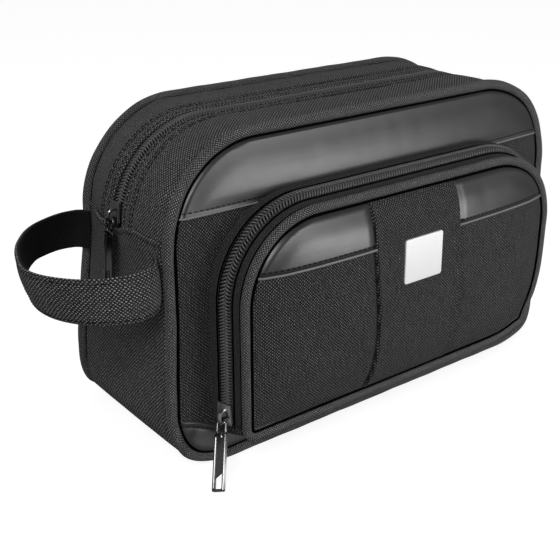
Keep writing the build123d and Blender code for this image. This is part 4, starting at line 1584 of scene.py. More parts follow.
@dataclass
class FrontPocket:
    """The raised pocket on the front, from its leaning wall to its crowned panels.

    Attributes:
        bench: Where pieces are made.
        lines: The bag's own lines.
        filling: The cloth simulation that swells its front.
        top_radius: The radius of its top corners, at the piping's middle.
        low_radius: The radius of its base corners, at the piping's middle.
        slope: How far the wall leans, in degrees.
        wall_stand: How far the wall stands outside the piping's middle at its front.
        zip_forward: How far the zip's middle lies in front of the front panel.
        zip_start: The height at which the zip starts on the left.
        zip_end_angle: Where on the right corner the zip ends, in degrees.
        bulge: How far the front swells.
        front_stand: How far the edge of the front lies before the piping's middle.
        strip_half: Half the width of the centre strip.
        strip_middle: Where the middle of the centre strip is.
        seam_z: The height of the leather's lower edge.
        slot: Half the gap between the tapes.
        right_spread: How far the filled pocket spreads at its right side.
        corner_cut: How much its low right corner is rounded off.
    """

    bench: Bench
    lines: BagLines
    filling: Filling
    top_radius: float = 43.0
    low_radius: float = 5.0
    slope: float = 16.0
    wall_stand: float = 1.2
    zip_forward: float = 10.2
    zip_start: float = 22.0
    zip_end_angle: float = 45.0
    bulge: float = 6.3
    front_stand: float = 0.3
    strip_half: float = 30.5
    strip_middle: float = 1.5
    seam_z: float = 104.0
    slot: float = 1.5
    right_spread: float = 7.0
    corner_cut: float = 5.6

    @cached_property
    def relief(self) -> Relief:
        """How the filling swells the pocket's front."""
        return self.filling.relief(self.seam)

    @property
    def piping_radius(self) -> float:
        """Half the thickness of the pocket's piping."""
        low, high = span("pocket_piping")
        return (high.y - low.y) / 2

    @property
    def piping_y(self) -> float:
        """The depth of the piping's middle."""
        low, high = span("pocket_piping")
        return (high.y + low.y) / 2

    @property
    def seam(self) -> Outline:
        """The middle line of the pocket's piping."""
        low, high = span("pocket_piping")
        r = self.piping_radius
        return Outline(
            (high.x - low.x) / 2 - r,
            low.z + r,
            high.z - r,
            self.top_radius,
            self.low_radius,
            (high.x + low.x) / 2,
        )

    @property
    def wall_front(self) -> float:
        """The depth of the wall's front edge."""
        return self.piping_y + self.piping_radius + 0.3

    @property
    def wall_back(self) -> float:
        """The depth at which the wall meets the front panel."""
        return 0.9 - self.lines.face_y

    @property
    def zip_y(self) -> float:
        """The depth of the zip's middle."""
        return -self.lines.face_y - self.zip_forward

    def fill(self, points: np.ndarray) -> np.ndarray:
        """Moves drawn points of the pocket to where the filled pocket has them."""
        x, y, z = points[..., 0], points[..., 1], points[..., 2]
        right = self.seam.centre + self.seam.half_width
        shift = self.right_spread * ramp(x, 40.0, right) * ramp(z, 6.0, 70.0)
        cut = self.corner_cut * bump(np.hypot(x - right, z - self.seam.low), 0.0, 18.0)
        return np.stack([x + shift - cut, y, z + 0.9 * cut], -1)

    def filled(self, sheet: Sheet) -> Sheet:
        """The same grid as the filled pocket has it."""
        return replace(sheet, points=self.fill(sheet.points))

    def outset(self, depth: np.ndarray) -> np.ndarray:
        """How far the wall stands outside the piping's middle at a depth."""
        return self.wall_stand + math.tan(math.radians(self.slope)) * (depth - self.wall_front)

    def zip_runs(self) -> tuple[float, float]:
        """The runs at which the zip starts and ends, on the piping's line."""
        seam = self.seam
        left = seam.run_at(self.zip_start)
        x, z, radius = seam.corners()[2]
        turned = math.radians(90.0 - self.zip_end_angle)
        top_end = seam.run_at(seam.high, False)
        return left, top_end + radius * turned

    def place(self, run: float, across: float, up: float) -> np.ndarray:
        """A point of the zip at a run, a distance across it towards the back, and a height over it."""
        lean = math.radians(self.slope)
        depth = self.zip_y + across * math.cos(lean) - up * math.sin(lean)
        rise = float(self.outset(np.array(self.zip_y))) + across * math.sin(lean) + up * math.cos(lean)
        at, out = self.seam.at(np.array([run]))
        flat = at[0] + out[0] * rise
        return np.array([flat[0], depth, flat[1]])

    def wall_band(self, runs: np.ndarray, depth: np.ndarray, rise: np.ndarray, under: float) -> Sheet:
        """A closed band of the wall.

        Args:
            runs: Where along the piping's line the rows lie.
            depth: The depths of the band's outer face.
            rise: How far that face stands over the plain wall.
            under: The band's thickness.

        Returns:
            The band's grid.
        """
        outer = np.stack([depth, self.outset(depth) + rise], -1)
        inner = np.stack([depth[::-1], self.outset(depth[::-1]) - under], -1)
        return sweep(self.seam, runs, np.concatenate([outer, inner]))

    def wall(self) -> None:
        """Makes the tapes beside the zip, painted shade lines along them, and the plain cloth round the rest of the
        wall.
        """
        start, end = self.zip_runs()
        runs = spread(start, end, 1.6)
        front = self.wall_front + 0.2
        rear_cloth = spread(self.zip_y + self.slot, self.wall_back, 0.45)
        away = rear_cloth - self.zip_y
        rise = 0.1 * bump(away, 3.6, 0.3) + 0.55 * ramp(away, 5.4, 6.0) - 0.3 * bump(away, 5.1, 0.35)
        rise = rise - 0.3 * bump(away, 7.6, 0.45)
        rear = self.wall_band(runs, rear_cloth, rise, 0.6)
        self.bench.sew("pocket_zip_tape_rear_cloth", [self.filled(rear)], [Skin.TAPE], ("pocket_zip_tape_rear",))
        fore_cloth = spread(self.zip_y - self.slot, front, 0.35)
        away = self.zip_y - fore_cloth
        rise = 0.1 * bump(away, 3.6, 0.3) - 0.5 * ramp(away, 6.2, 7.6)
        fore = self.wall_band(runs, fore_cloth, rise, 0.6)
        # Painted shade: near-black cords beside the teeth and at the tape's far edge.
        threads = []
        for away in (-3.95, 3.95, 5.3):
            depth = self.zip_y + away
            line = ring(0.42, 8, (depth, float(self.outset(np.array(depth))) + 0.15))
            threads.append(self.filled(sweep(self.seam, runs, line)))
        self.bench.sew("pocket_zip_painted_shade_lines", threads, [Skin.PAINTED_SHADE_LINE])
        self.bench.sew("pocket_zip_tape_front_cloth", [self.filled(fore)], [Skin.TAPE], ("pocket_zip_tape_front",))
        rest = spread(end - self.seam.length - 3.0, start + 3.0, 2.0)
        depth = spread(front, self.wall_back, 1.0)
        swell = 0.5 * np.sin(np.pi * (depth - front) / (self.wall_back - front))
        plain = self.wall_band(rest, depth, swell + 0.25, 1.0)
        self.bench.sew("pocket_wall", [self.filled(plain)], [Skin.NYLON], ("pocket_gusset",))

    def zip_teeth(self) -> None:
        """Makes the two rows of teeth round the pocket."""
        start, end = self.zip_runs()
        start += span("pocket_zip_coil_front")[0].z - self.zip_start
        teeth = Teeth()
        for side, node in ((-1, "pocket_zip_coil_front"), (1, "pocket_zip_coil_rear")):
            shift = 0.0 if side < 0 else teeth.pitch / 2
            row = teeth.row(self.place, start, end - 1.0, side, shift)
            row = [self.filled(tooth) for tooth in row]
            self.bench.sew(f"{node}_teeth", row, [Skin.COIL], (node,))

    def piping(self) -> None:
        """Makes the covered cord round the pocket's front, with painted shade lines in the grooves beside it."""
        seam = self.seam
        runs = np.linspace(0, seam.length, 460, endpoint=False)
        section = ring(self.piping_radius, 26, (self.piping_y, 0.0))
        centre = np.array([self.piping_y, 0.0])
        swell = 1.0 + 0.02 * np.sin(runs / 6.1) + 0.015 * np.sin(runs / 2.7)
        body = centre + (section[None] - centre) * swell[:, None, None]
        cord = sweep(seam, runs, body, loop=True)
        low, high = self.piping_y - 0.9, self.piping_y + 2.4
        welt = np.array([[low, -0.6], [high, -0.6], [high, -4.5], [low, -4.5]])
        tail = sweep(seam, runs, welt, loop=True)
        # Painted shade: near-black cords in the grooves on each side of the pocket's piping.
        creases = []
        for depth, rise, radius in ((-0.9, -3.0, 0.8), (2.75, 0.7, 0.65)):
            line = ring(radius, 10, (self.piping_y + depth, rise))
            creases.append(self.filled(sweep(seam, runs, line, loop=True)))
        self.bench.sew("pocket_seam_painted_shade_lines", creases, [Skin.PAINTED_SHADE_LINE])
        self.bench.sew("pocket_seam_piping", [self.filled(cord), self.filled(tail)],
                       [Skin.PIPING], ("pocket_piping",))

    def crown(self, x: np.ndarray, z: np.ndarray, lift: np.ndarray | float = 0.0) -> np.ndarray:
        """Points on the pocket's swollen front.

        Args:
            x: Where the points are across the pocket.
            z: Their heights.
            lift: How far they lie over the plain front.

        Returns:
            The points.
        """
        seam = self.seam
        across = (x - seam.centre) / seam.half_width
        up = (z - (seam.low + seam.high) / 2) / ((seam.high - seam.low) / 2)
        swell = self.bulge * (1 - across**4) * (1 - up**4)
        edge = seam.inside(x, z)
        swell = swell - 2.2 * ramp(edge, 5.0, 2.0)
        uneven = Ripple(0.12, 70.0, 0.6).height(x, z) * ramp(edge, 4.0, 16.0)
        uneven = uneven + self.relief.at(x, z) * ramp(edge, 2.0, 14.0)
        y = self.piping_y - self.front_stand - swell - uneven - lift
        return self.fill(np.stack([x, y, z], -1))

    def strip_edge(self, z: np.ndarray, side: int) -> np.ndarray:
        """Where the centre strip's edge is at each height."""
        drift = 5.0 * bump(z, 58.0, 34.0)
        return self.strip_middle + side * self.strip_half + drift * (0.9 if side < 0 else 0.7)

    def side_panel(self, side: int, low: float, high: float, lift: float) -> Sheet:
        """A grid of the front from the centre strip to the piping, between two heights."""
        line = self.seam.grown(-1.7)
        z = line.heights(max(low, line.low), min(high, line.high), 2.2)
        near = self.strip_edge(z, side) - side * 3.0
        far = line.centre + side * line.reach(z)
        share = np.linspace(0, 1, 44)
        share = 0.5 * share + 0.5 * np.sin(share * np.pi / 2)
        x = near[:, None] + (far - near)[:, None] * share[None]
        z = np.repeat(z[:, None], x.shape[1], 1)
        groove = 1.1 * ramp(np.abs(x - near[:, None]), 7.0, 3.0)
        points, cloth = self.crown(x, z, lift - groove), np.stack([x, z], -1)
        if side < 0:
            points, cloth = points[:, ::-1], cloth[:, ::-1]
        return Sheet(points, cloth)

    def nylon_panels(self) -> None:
        """Makes the nylon panels beside the centre strip."""
        for side, name in ((-1, "left"), (1, "right")):
            node = f"pocket_panel_{name}"
            piece = self.bench.sew(f"{node}_cloth", [self.side_panel(side, 0.0, self.seam_z + 6.0, 0.0)],
                                   [Skin.NYLON], (node,))
            thicken(piece, 1.2)

    def leather_panels(self) -> None:
        """Makes the leather over each nylon panel, its rolled lower edge in pale leather as a painted highlight, and
        its stitches.
        """
        for side, name in ((-1, "left"), (1, "right")):
            node = f"pocket_leather_{name}"
            sheet = self.side_panel(side, self.seam_z + 1.0, 400.0, 0.75)
            piece = self.bench.sew(f"{node}_sheet", [sheet], [Skin.LEATHER], (node,))
            thicken(piece, 0.7)
            x = sheet.cloth[0, :, 0]
            order = np.argsort(x)
            x = x[order]
            x = spread(float(x[0]) + 0.4, float(x[-1]) - 0.4, 1.2)
            low = np.full(len(x), self.seam_z + 0.4)
            # Painted highlight: the rolled edge takes the pale leather for the shine along its ridge.
            roll = tube(self.crown(x, low, 0.45), 0.72, 12)
            self.bench.sew(f"{node}_edge", [roll], [Skin.LEATHER_EDGE_HIGHLIGHT])
            path = self.crown(x, low + 2.4, 0.8)
            out = np.tile([0.0, -1.0, 0.25], (len(x), 1))
            thread = Thread(3.1, 2.4, 0.3, 0.4)
            self.bench.sew(f"{node}_stitches", thread.row(path, out), [Skin.THREAD])

    def centre_strip(self) -> None:
        """Makes the nylon strip down the middle, folded under along both edges."""
        line = self.seam.grown(-1.7)
        z = spread(line.low, line.high, 2.0)
        left, right = self.strip_edge(z, -1), self.strip_edge(z, 1)
        edge = np.array([0.0, 0.12, 0.4, 0.9, 1.6, 2.6, 4.0])
        lift = np.array([-0.6, 0.4, 1.05, 1.45, 1.5, 1.3, 1.1])
        inner = np.linspace(6.0, 55.0, 26)
        across = np.concatenate([edge, inner, 61.0 - edge[::-1]])
        lifts = np.concatenate([lift, np.full(26, 1.05), lift[::-1]])
        share = across / 61.0
        x = left[:, None] + (right - left)[:, None] * share[None]
        grid_z = np.repeat(z[:, None], x.shape[1], 1)
        close = ramp(self.seam.inside(x, grid_z), 2.0, 8.0)
        points = self.crown(x, grid_z, lifts[None] * (0.25 + 0.75 * close))
        cloth = np.stack([x, grid_z], -1)
        piece = self.bench.sew("pocket_centre_strip_cloth", [Sheet(points, cloth)], [Skin.NYLON],
                               ("pocket_centre_strip",))
        thicken(piece, 1.0)

    def lining(self) -> None:
        """Makes the lining behind the pocket's front."""
        line = self.seam.grown(-4.0)
        z = line.heights(line.low, line.high, 4.0)
        x = line.centre + line.reach(z)[:, None] * np.linspace(-1, 1, 50)[None]
        grid_z = np.repeat(z[:, None], x.shape[1], 1)
        sheet = Sheet(self.crown(x, grid_z, -1.8), np.stack([x, grid_z], -1))
        piece = self.bench.sew("pocket_lining_cloth", [sheet], [Skin.LINING], ("pocket_lining",))
        thicken(piece, 0.5)

    def build(self) -> None:
        """Makes every piece of the pocket."""
        self.wall()
        self.zip_teeth()
        self.piping()
        self.nylon_panels()
        self.leather_panels()
        self.centre_strip()
        self.lining()
        self.bench.dress("plain_plate", Skin.PLATE)


@dataclass
class SideStrap:
    """The carrying strap on the left: a folded canvas band sewn into both side seams.

    Attributes:
        bench: Where pieces are made.
        lines: The bag's own lines.
        front: The strap's way out of the front seam, as a reach from the side and a distance back.
        rear: Its way into the rear seam, the same way.
        thickness: Its thickness.
        low_edge: How far in, back and up its lower edge lies at each of those places.
        stitch_inset: How far its rows of stitches lie from its edges.
    """

    bench: Bench
    lines: BagLines
    front: tuple[tuple[float, float], ...] = (
        (2.0, 5.4),
        (7.1, -2.1),
        (16.6, -6.6),
        (34.6, -1.6),
        (48.6, 10.4),
        (55.6, 29.4),
    )
    rear: tuple[tuple[float, float], ...] = (
        (51.6, 40.4),
        (33.6, 10.4),
        (23.6, 1.4),
        (12.6, -3.1),
        (6.1, -2.1),
        (1.6, 3.4),
    )
    thickness: float = 2.4
    low_edge: tuple[tuple[float, float, float], ...] = (
        (0.2, 0.0, 1.5),
        (0.8, 0.0, 1.5),
        (2.5, 0.0, 1.4),
        (4.2, 0.0, 1.3),
        (5.6, 0.0, 1.2),
        (6.2, 0.5, 1.4),
        (5.4, 1.8, 1.9),
        (3.6, 3.4, 2.6),
        (1.6, 4.4, 3.3),
        (0.4, 3.8, 4.0),
        (0.0, 2.0, 4.0),
        (0.0, 0.0, 4.0),
    )
    stitch_inset: float = 2.4

    def route(self) -> np.ndarray:
        """The strap's middle line in plan, as even points of a smooth curve."""
        edge = self.lines.edge_y
        points = [(out, back - edge) for out, back in self.front]
        points += [(out, edge - back) for out, back in self.rear]
        knots = np.array(points)
        return smooth_line(knots, 150)

    def build(self) -> None:
        """Makes the strap and its stitches."""
        low, high = span("side_handle")
        plan = self.route()
        rows = len(plan)
        run = np.gradient(plan, axis=0)
        run /= np.linalg.norm(run, axis=1, keepdims=True)
        out = np.stack([run[:, 1], -run[:, 0]], -1)
        width = high.z - low.z
        turn = np.linspace(0.0, np.pi, 7)
        half = self.thickness / 2
        flat = np.linspace(half, width - half, 22)
        outer = np.stack([flat, np.full(22, half)], -1)
        cap = np.stack([width - half + half * np.sin(turn[1:-1]), half * np.cos(turn[1:-1])], -1)
        inner = np.stack([flat[::-1], np.full(22, -half)], -1)
        foot = np.stack([half - half * np.sin(turn[1:-1]), -half * np.cos(turn[1:-1])], -1)
        section = np.concatenate([outer, cap, inner, foot])
        rise, away = section[:, 0], section[:, 1]
        hem = -0.22 * (bump(rise, self.stitch_inset, 0.8) + bump(rise, width - self.stitch_inset, 0.8))
        away = away + np.sign(away) * hem * (np.abs(away) > 0.6 * half)
        belly = 0.9 * np.sin(np.pi * rise / width)
        along = np.concatenate([[0.0], np.cumsum(np.linalg.norm(np.diff(plan, axis=0), axis=1))])
        wobble = Ripple(0.5, 60.0, 0.4).height(rise[None], along[:, None])
        knots = np.linspace(0.0, along[-1], len(self.low_edge))
        edge = np.stack([np.interp(along, knots, np.array(self.low_edge)[:, k]) for k in range(3)], -1)
        drop = (1.0 - rise / width)[None, :, None] * edge[:, None]
        reach = plan[:, None, 0] - drop[..., 0] + out[:, None, 0] * (away + belly + wobble)
        depth = plan[:, None, 1] + drop[..., 1] + out[:, None, 1] * (away + belly + wobble)
        x = -self.lines.wrap.half_width - np.maximum(reach, 0.2)
        z = low.z + rise[None] + drop[..., 2]
        near = ramp(reach, 40.0, 0.0)[..., None]
        points = np.stack([x, depth, z], -1)
        points = points + near * (self.lines.settle(points) - points)
        cloth = np.stack(np.broadcast_arrays(rise[None], along[:, None]), -1)
        skins = self.split_faces(points, cloth, len(outer) + len(cap) // 2, len(inner) + len(cap) - 1)
        self.bench.sew("carrying_strap", skins, [Skin.CANVAS, Skin.STRAP_BACK], ("side_handle",))
        stitches = []
        for at in (self.stitch_inset, width - self.stitch_inset):
            column = int(np.argmin(np.abs(flat - at)))
            path = points[4:-4, column]
            up = np.stack([-out[4:-4, 0], out[4:-4, 1], np.zeros(rows - 8)], -1)
            stitches += Thread().row(path + up * 0.05, up)
        self.bench.sew("carrying_strap_stitches", stitches, [Skin.THREAD])

    def split_faces(self, points: np.ndarray, cloth: np.ndarray, first: int, count: int) -> list[Sheet]:
        """Splits the strap's skin into its outer and its inner face.

        Args:
            points: The strap's whole grid.
            cloth: Its cloth coordinates.
            first: The column at which the inner face starts.
            count: How many columns it has.

        Returns:
            The outer and the inner grid.
        """
        outer = np.r_[first + count : points.shape[1], 0 : first + 1]
        inner = np.arange(first, first + count + 1)
        return [
            Sheet(points[:, outer], cloth[:, outer]),
            Sheet(points[:, inner], cloth[:, inner], skin=1),
        ]


def smooth_line(knots: np.ndarray, count: int) -> np.ndarray:
    """Even points of a smooth curve through knots.

    Args:
        knots: The points that it passes through, in the plane.
        count: How many points are wanted.

    Returns:
        The curve's points.
    """
    chord = np.concatenate([[0.0], np.cumsum(np.linalg.norm(np.diff(knots, axis=0), axis=1))])
    slope = np.gradient(knots, chord, axis=0)
    pieces = []
    for k in range(len(knots) - 1):
        t = np.linspace(0, 1, 40, endpoint=k == len(knots) - 2)[:, None]
        gap = chord[k + 1] - chord[k]
        pieces.append(
            (2 * t**3 - 3 * t**2 + 1) * knots[k]
            + (t**3 - 2 * t**2 + t) * gap * slope[k]
            + (3 * t**2 - 2 * t**3) * knots[k + 1]
            + (t**3 - t**2) * gap * slope[k + 1]
        )
    fine = np.concatenate(pieces)
    along = np.concatenate([[0.0], np.cumsum(np.linalg.norm(np.diff(fine, axis=0), axis=1))])
    wanted = np.linspace(0, along[-1], count)
    return np.stack([np.interp(wanted, along, fine[:, k]) for k in range(2)], -1)


@dataclass(frozen=True)
class Stand:
    """A place to build metal on: a start and three directions.

    Attributes:
        origin: The start, in millimetres.
        along: The direction along the piece.
        out: The direction out of its face.
    """

    origin: tuple[float, float, float]
    along: tuple[float, float, float]
    out: tuple[float, float, float]

    def put(self, along: np.ndarray, across: np.ndarray, out: np.ndarray) -> np.ndarray:
        """Turns distances along, across and out of the piece into points.

        Args:
            along: Distances along it.
            across: Distances across it.
            out: Distances out of its face.

        Returns:
            The points.
        """
        first, third = np.array(self.along), np.array(self.out)
        second = np.cross(third, first)
        along, across, out = np.broadcast_arrays(along, across, out)
        return (
            np.array(self.origin)
            + along[..., None] * first
            + across[..., None] * second
            + out[..., None] * third
        )


def inset(outline: np.ndarray, distance: float) -> np.ndarray:
    """Moves each corner of an outline inwards, along the middle of its two sides' normals."""
    ahead = np.roll(outline, -1, 0) - outline
    behind = outline - np.roll(outline, 1, 0)
    heading = ahead / np.linalg.norm(ahead, axis=1, keepdims=True)
    heading = heading + behind / np.linalg.norm(behind, axis=1, keepdims=True)
    heading /= np.maximum(np.linalg.norm(heading, axis=1, keepdims=True), 1e-6)
    area = np.sum(outline[:, 0] * np.roll(outline[:, 1], -1) - np.roll(outline[:, 0], -1) * outline[:, 1])
    normal = np.stack([-heading[:, 1], heading[:, 0]], -1) * np.sign(area)
    return outline + distance * normal


def rounded(low: tuple[float, float], high: tuple[float, float], radius: float) -> np.ndarray:
    """A rectangle's outline with round corners.

    Args:
        low: Its lowest corner.
        high: Its highest corner.
        radius: The radius of its corners.

    Returns:
        The outline's points, in order.
    """
    turn = np.linspace(0, np.pi / 2, 5)
    points = []
    for k, (x, y) in enumerate(((1, 1), (0, 1), (0, 0), (1, 0))):
        centre = np.array([(low[0], high[0])[x], (low[1], high[1])[y]])
        centre = centre + radius * np.array([1 - 2 * x, 1 - 2 * y])
        angle = turn + k * np.pi / 2
        points.append(centre + radius * np.stack([np.cos(angle), np.sin(angle)], -1))
    return np.concatenate(points)


def slab(stand: Stand, outline: np.ndarray, low: float, high: float, bevel: float, upright: bool = False) -> Sheet:
    """A flat plate with broken edges.

    Args:
        stand: Where it is built.
        outline: Its outline, along and across; or along and out where it is upright.
        low: Where its lower face is.
        high: Where its upper face is.
        bevel: How much its edges are broken.
        upright: Whether the outline stands across the piece.

    Returns:
        The plate's grid.
    """
    levels = [(bevel, low), (0.0, low + bevel), (0.0, high - bevel), (bevel, high)]
    rings = [(inset(outline, cut), level) for cut, level in levels]
    flat = np.stack([ring_points for ring_points, _ in rings])
    level = np.array([at for _, at in rings])[:, None]
    if upright:
        points = stand.put(flat[..., 0], level, flat[..., 1])
    else:
        points = stand.put(flat[..., 0], flat[..., 1], level)
    return Sheet(points, flat, wrap_columns=True, capped=True)


def hoop(stand: Stand, outer: np.ndarray, inner: np.ndarray, half: float, bevel: float) -> Sheet:
    """A flat frame round a window.

    Args:
        stand: Where it is built.
        outer: Its outline.
        inner: The window's outline, with as many points.
        half: Half its thickness.
        bevel: How much its edges are broken.

    Returns:
        The frame's grid.
    """
    rows = [
        (inset(outer, bevel), -half),
        (outer, -half + bevel),
        (outer, half - bevel),
        (inset(outer, bevel), half),
        (inset(inner, -bevel), half),
        (inner, half - bevel),
        (inner, -half + bevel),
        (inset(inner, -bevel), -half),
    ]
    flat = np.stack([line for line, _ in rows])
    level = np.array([at for _, at in rows])[:, None]
    return Sheet(stand.put(flat[..., 0], flat[..., 1], level), flat, wrap_rows=True, wrap_columns=True)


@dataclass(frozen=True)
class Slider:
    """A zip's slider: two waisted plates, their flanges, a neck and a bridge.

    Attributes:
        half_length: Half the plates' length.
        shoulder: Half the width at the shoulders.
        plate: The thickness of each plate.
        under: Where the lower plate's outer face is.
        top: Where the upper plate's outer face is.
        bevel: How much the edges are broken.
    """

    half_length: float = 6.0
    shoulder: float = 4.8
    plate: float = 1.1
    under: float = -2.0
    top: float = 3.7
    bevel: float = 0.28

    def outline(self) -> np.ndarray:
        """The plates' outline, with shoulders on either side of the neck."""
        end, wide = self.half_length, self.shoulder
        right = [
            (end, 3.8),
            (0.75 * end, 4.0),
            (0.0, 4.2),
            (-0.45 * end, 4.6),
            (-0.7 * end, wide),
            (-0.9 * end, 0.93 * wide),
            (-end, 0.62 * wide),
            (-0.9 * end, 0.28 * wide),
            (-0.78 * end, 0.0),
        ]
        left = [(x, -y) for x, y in right[-2::-1]]
        return np.array(right + left)

    def sheets(self, stand: Stand) -> list[Sheet]:
        """The slider's grids on a stand."""
        outline = self.outline()
        upper = slab(stand, outline, self.top - self.plate, self.top, self.bevel)
        lower = slab(stand, outline, self.under, self.under + self.plate, self.bevel)
        sheets = [upper, lower]
        for side in (-1, 1):
            rail = np.array([(-4.2, 4.7), (-1.0, 4.3), (5.8, 3.8), (5.8, 3.42), (-1.0, 3.8), (-4.2, 4.2)])
            rail = rail * np.array([1.0, side])
            sheets.append(slab(stand, rail, self.top - self.plate - 0.9, self.top - self.plate + 0.1, 0.1))
            sheets.append(slab(stand, rail, self.under + self.plate - 0.1, self.under + self.plate + 0.5, 0.1))
        neck = rounded((-5.4, -1.1), (-2.8, 1.1), 0.5)
        sheets.append(slab(stand, neck, self.under + self.plate - 0.2, self.top - self.plate + 0.2, 0.1))
        sheets.append(slab(stand, self.bridge(), -0.85, 0.85, 0.22, upright=True))
        return sheets

    def bridge(self) -> np.ndarray:
        """The bridge's side view: an arch with a round eye under it."""
        turn = np.linspace(0.0, np.pi, 9)
        outer = [(2.6 - 1.2, self.top - 0.1), (2.6, self.top - 0.1), (2.5, 5.0), (1.9, 6.1), (0.6, 7.0)]
        outer += [(-1.6, 7.2), (-3.8, 7.1), (-5.0, 6.3), (-5.4, 5.2), (-5.4, self.top - 0.1)]
        outer += [(-4.3, self.top - 0.1)]
        inner = [(-1.5 - 2.75 * math.cos(t), 4.3 + 1.9 * math.sin(t)) for t in turn]
        return np.array(outer + inner)


@dataclass(frozen=True)
class PullTab:
    """A pull tab: a wire bail, a framed tab, and a tongue that ends in a slant over a window.

    Attributes:
        wire: Half the thickness of the bail's wire.
        bail_half: Half the bail's width at the wire's middle.
        bail_end: How far down the bail reaches.
        frame_start: Where the frame starts.
        frame_end: Where the frame ends.
        half_width: Half the frame's width.
        half: Half the frame's thickness.
        border: The width of the frame's sides.
        tongue_end: Where the tongue's slant starts.
        slant: How much further down its other side ends.
    """

    wire: float = 0.6
    bail_half: float = 3.0
    bail_end: float = 7.3
    frame_start: float = 6.6
    frame_end: float = 35.0
    half_width: float = 4.0
    half: float = 1.0
    border: float = 1.3
    tongue_end: float = 25.6
    slant: float = 3.2

    def sheets(self, stand: Stand) -> list[Sheet]:
        """The pull tab's grids on a stand."""
        line = rounded((0.0, -self.bail_half), (self.bail_end, self.bail_half), 1.7)
        line = even_points(np.column_stack([line, np.zeros(len(line))]), 0.5, closed=True)
        path = stand.put(line[:, 0], line[:, 1], np.zeros(len(line)))
        outer = rounded((self.frame_start, -self.half_width), (self.frame_end, self.half_width), 0.9)
        side = self.half_width - self.border
        window = (self.frame_start + 1.7, -side), (self.frame_end - self.border, side)
        inner = rounded(*window, 0.4)
        tongue = np.array(
            [
                (window[0][0] - 0.2, -side - 0.1),
                (self.tongue_end + self.slant, -side - 0.1),
                (self.tongue_end, side + 0.1),
                (window[0][0] - 0.2, side + 0.1),
            ]
        )
        knuckle = rounded((self.bail_end - 1.1, -1.5), (self.frame_start + 2.6, 1.5), 0.5)
        return [
            tube(path, self.wire, 12, closed=True),
            hoop(stand, outer, inner, self.half, 0.26),
            slab(stand, tongue, -0.45, 0.45, 0.1),
            slab(stand, knuckle, -1.05, 1.05, 0.3),
        ]


@dataclass
class Hardware:
    """The sliders, their pull tabs, and the board in the base.

    Attributes:
        bench: Where pieces are made.
        main_turn: How far round the corner the main slider stands, in degrees.
        main_lean: How far the main pull leans out, in degrees.
        pocket_twist: How far the pocket's pull turns forwards, in degrees.
        pocket_lean: How far the pocket's pull leans out, in degrees.
        pivot_along: Where the pivot is along a slider.
        pivot_out: How far the pivot lies over the tape.
    """

    bench: Bench
    main_turn: float = 10.0
    main_lean: float = 6.0
    pocket_twist: float = 25.0
    pocket_lean: float = 32.5
    wall_slope: float = 16.0
    pivot_along: float = -2.6
    pivot_out: float = 5.1

    def pivots(self) -> tuple[np.ndarray, np.ndarray]:
        """Where the two pull tabs turn, in millimetres."""
        at = {joint["name"]: joint.get("pos_m") for joint in frame["joints"]}
        return np.array(at["main_pull_swing"]) / MM, np.array(at["pocket_pull_swing"]) / MM

    def slider_stand(self, pivot: np.ndarray, along: np.ndarray, out: np.ndarray) -> Stand:
        """The stand of the slider whose pull turns at a pivot."""
        origin = pivot - along * self.pivot_along - out * self.pivot_out
        return Stand(tuple(origin), tuple(along), tuple(out))

    def main(self) -> None:
        """Makes the main zip's slider and its pull tab."""
        pivot = self.pivots()[0]
        turn, lean = math.radians(self.main_turn), math.radians(self.main_lean)
        along = np.array([math.sin(turn), 0.0, math.cos(turn)])
        out = np.array([-math.cos(turn), 0.0, math.sin(turn)])
        stand = self.slider_stand(pivot, along, out)
        self.bench.sew("main_slider_shell", Slider().sheets(stand), [Skin.SLIDER], ("main_slider",),
                       "main_slider_body", crisp=True)
        down = (-math.sin(lean), 0.0, -math.cos(lean))
        face = (-math.cos(lean), 0.0, math.sin(lean))
        tab = Stand(tuple(pivot), down, face)
        self.bench.sew("main_pull_tab", PullTab().sheets(tab), [Skin.PULL], ("main_puller",),
                       "main_pull_body", crisp=True)

    def pocket(self) -> None:
        """Makes the pocket zip's slider and its pull tab."""
        pivot = self.pivots()[1]
        slope, twist = math.radians(self.wall_slope), math.radians(self.pocket_twist)
        lean = math.radians(self.pocket_lean)
        along = np.array([0.0, 0.0, 1.0])
        out = np.array([-math.cos(slope), -math.sin(slope), 0.0])
        forward = np.cross(along, out)
        forward = forward * (1.0 if forward[1] < 0 else -1.0)
        stand = self.slider_stand(pivot, along, out)
        self.bench.sew("pocket_slider_shell", Slider().sheets(stand), [Skin.SLIDER_BRIGHT],
                       ("pocket_slider",), "pocket_slider_body", crisp=True)
        hang = -along * math.cos(twist) + forward * math.sin(twist)
        down = hang * math.cos(lean) + out * math.sin(lean)
        face = out * math.cos(lean) - hang * math.sin(lean)
        tab = Stand(tuple(pivot), tuple(down), tuple(face))
        self.bench.sew("pocket_pull_tab", PullTab().sheets(tab), [Skin.PULL], ("pocket_puller",),
                       "pocket_pull_body", crisp=True)

    def build(self) -> None:
        """Makes the metal pieces and dresses the board."""
        self.main()
        self.pocket()
        self.bench.dress("base_board", Skin.BOARD)


@dataclass(frozen=True)
class Lamp:
    """A square soft light.

    Attributes:
        name: Its name.
        place: Where it stands, in metres.
        target: What it faces, in metres.
        width: Its width, in metres.
        height: Its height, in metres.
        brightness: How bright its face is, where 1 is white.
    """

    name: str
    place: tuple[float, float, float]
    target: tuple[float, float, float]
    width: float
    height: float
    brightness: float

    def build(self) -> None:
        """Sets up the light."""
        data = bpy.data.lights.new(self.name, "AREA")
        data.shape = "RECTANGLE"
        data.size, data.size_y = self.width, self.height
        data.energy = self.brightness * math.pi * self.width * self.height
        lamp = bpy.data.objects.new(self.name, data)
        lamp.visible_camera = False
        lamp.location = self.place
        facing = Vector(self.target) - Vector(self.place)
        lamp.rotation_euler = facing.to_track_quat("-Z", "Y").to_euler()
        bpy.context.scene.collection.objects.link(lamp)


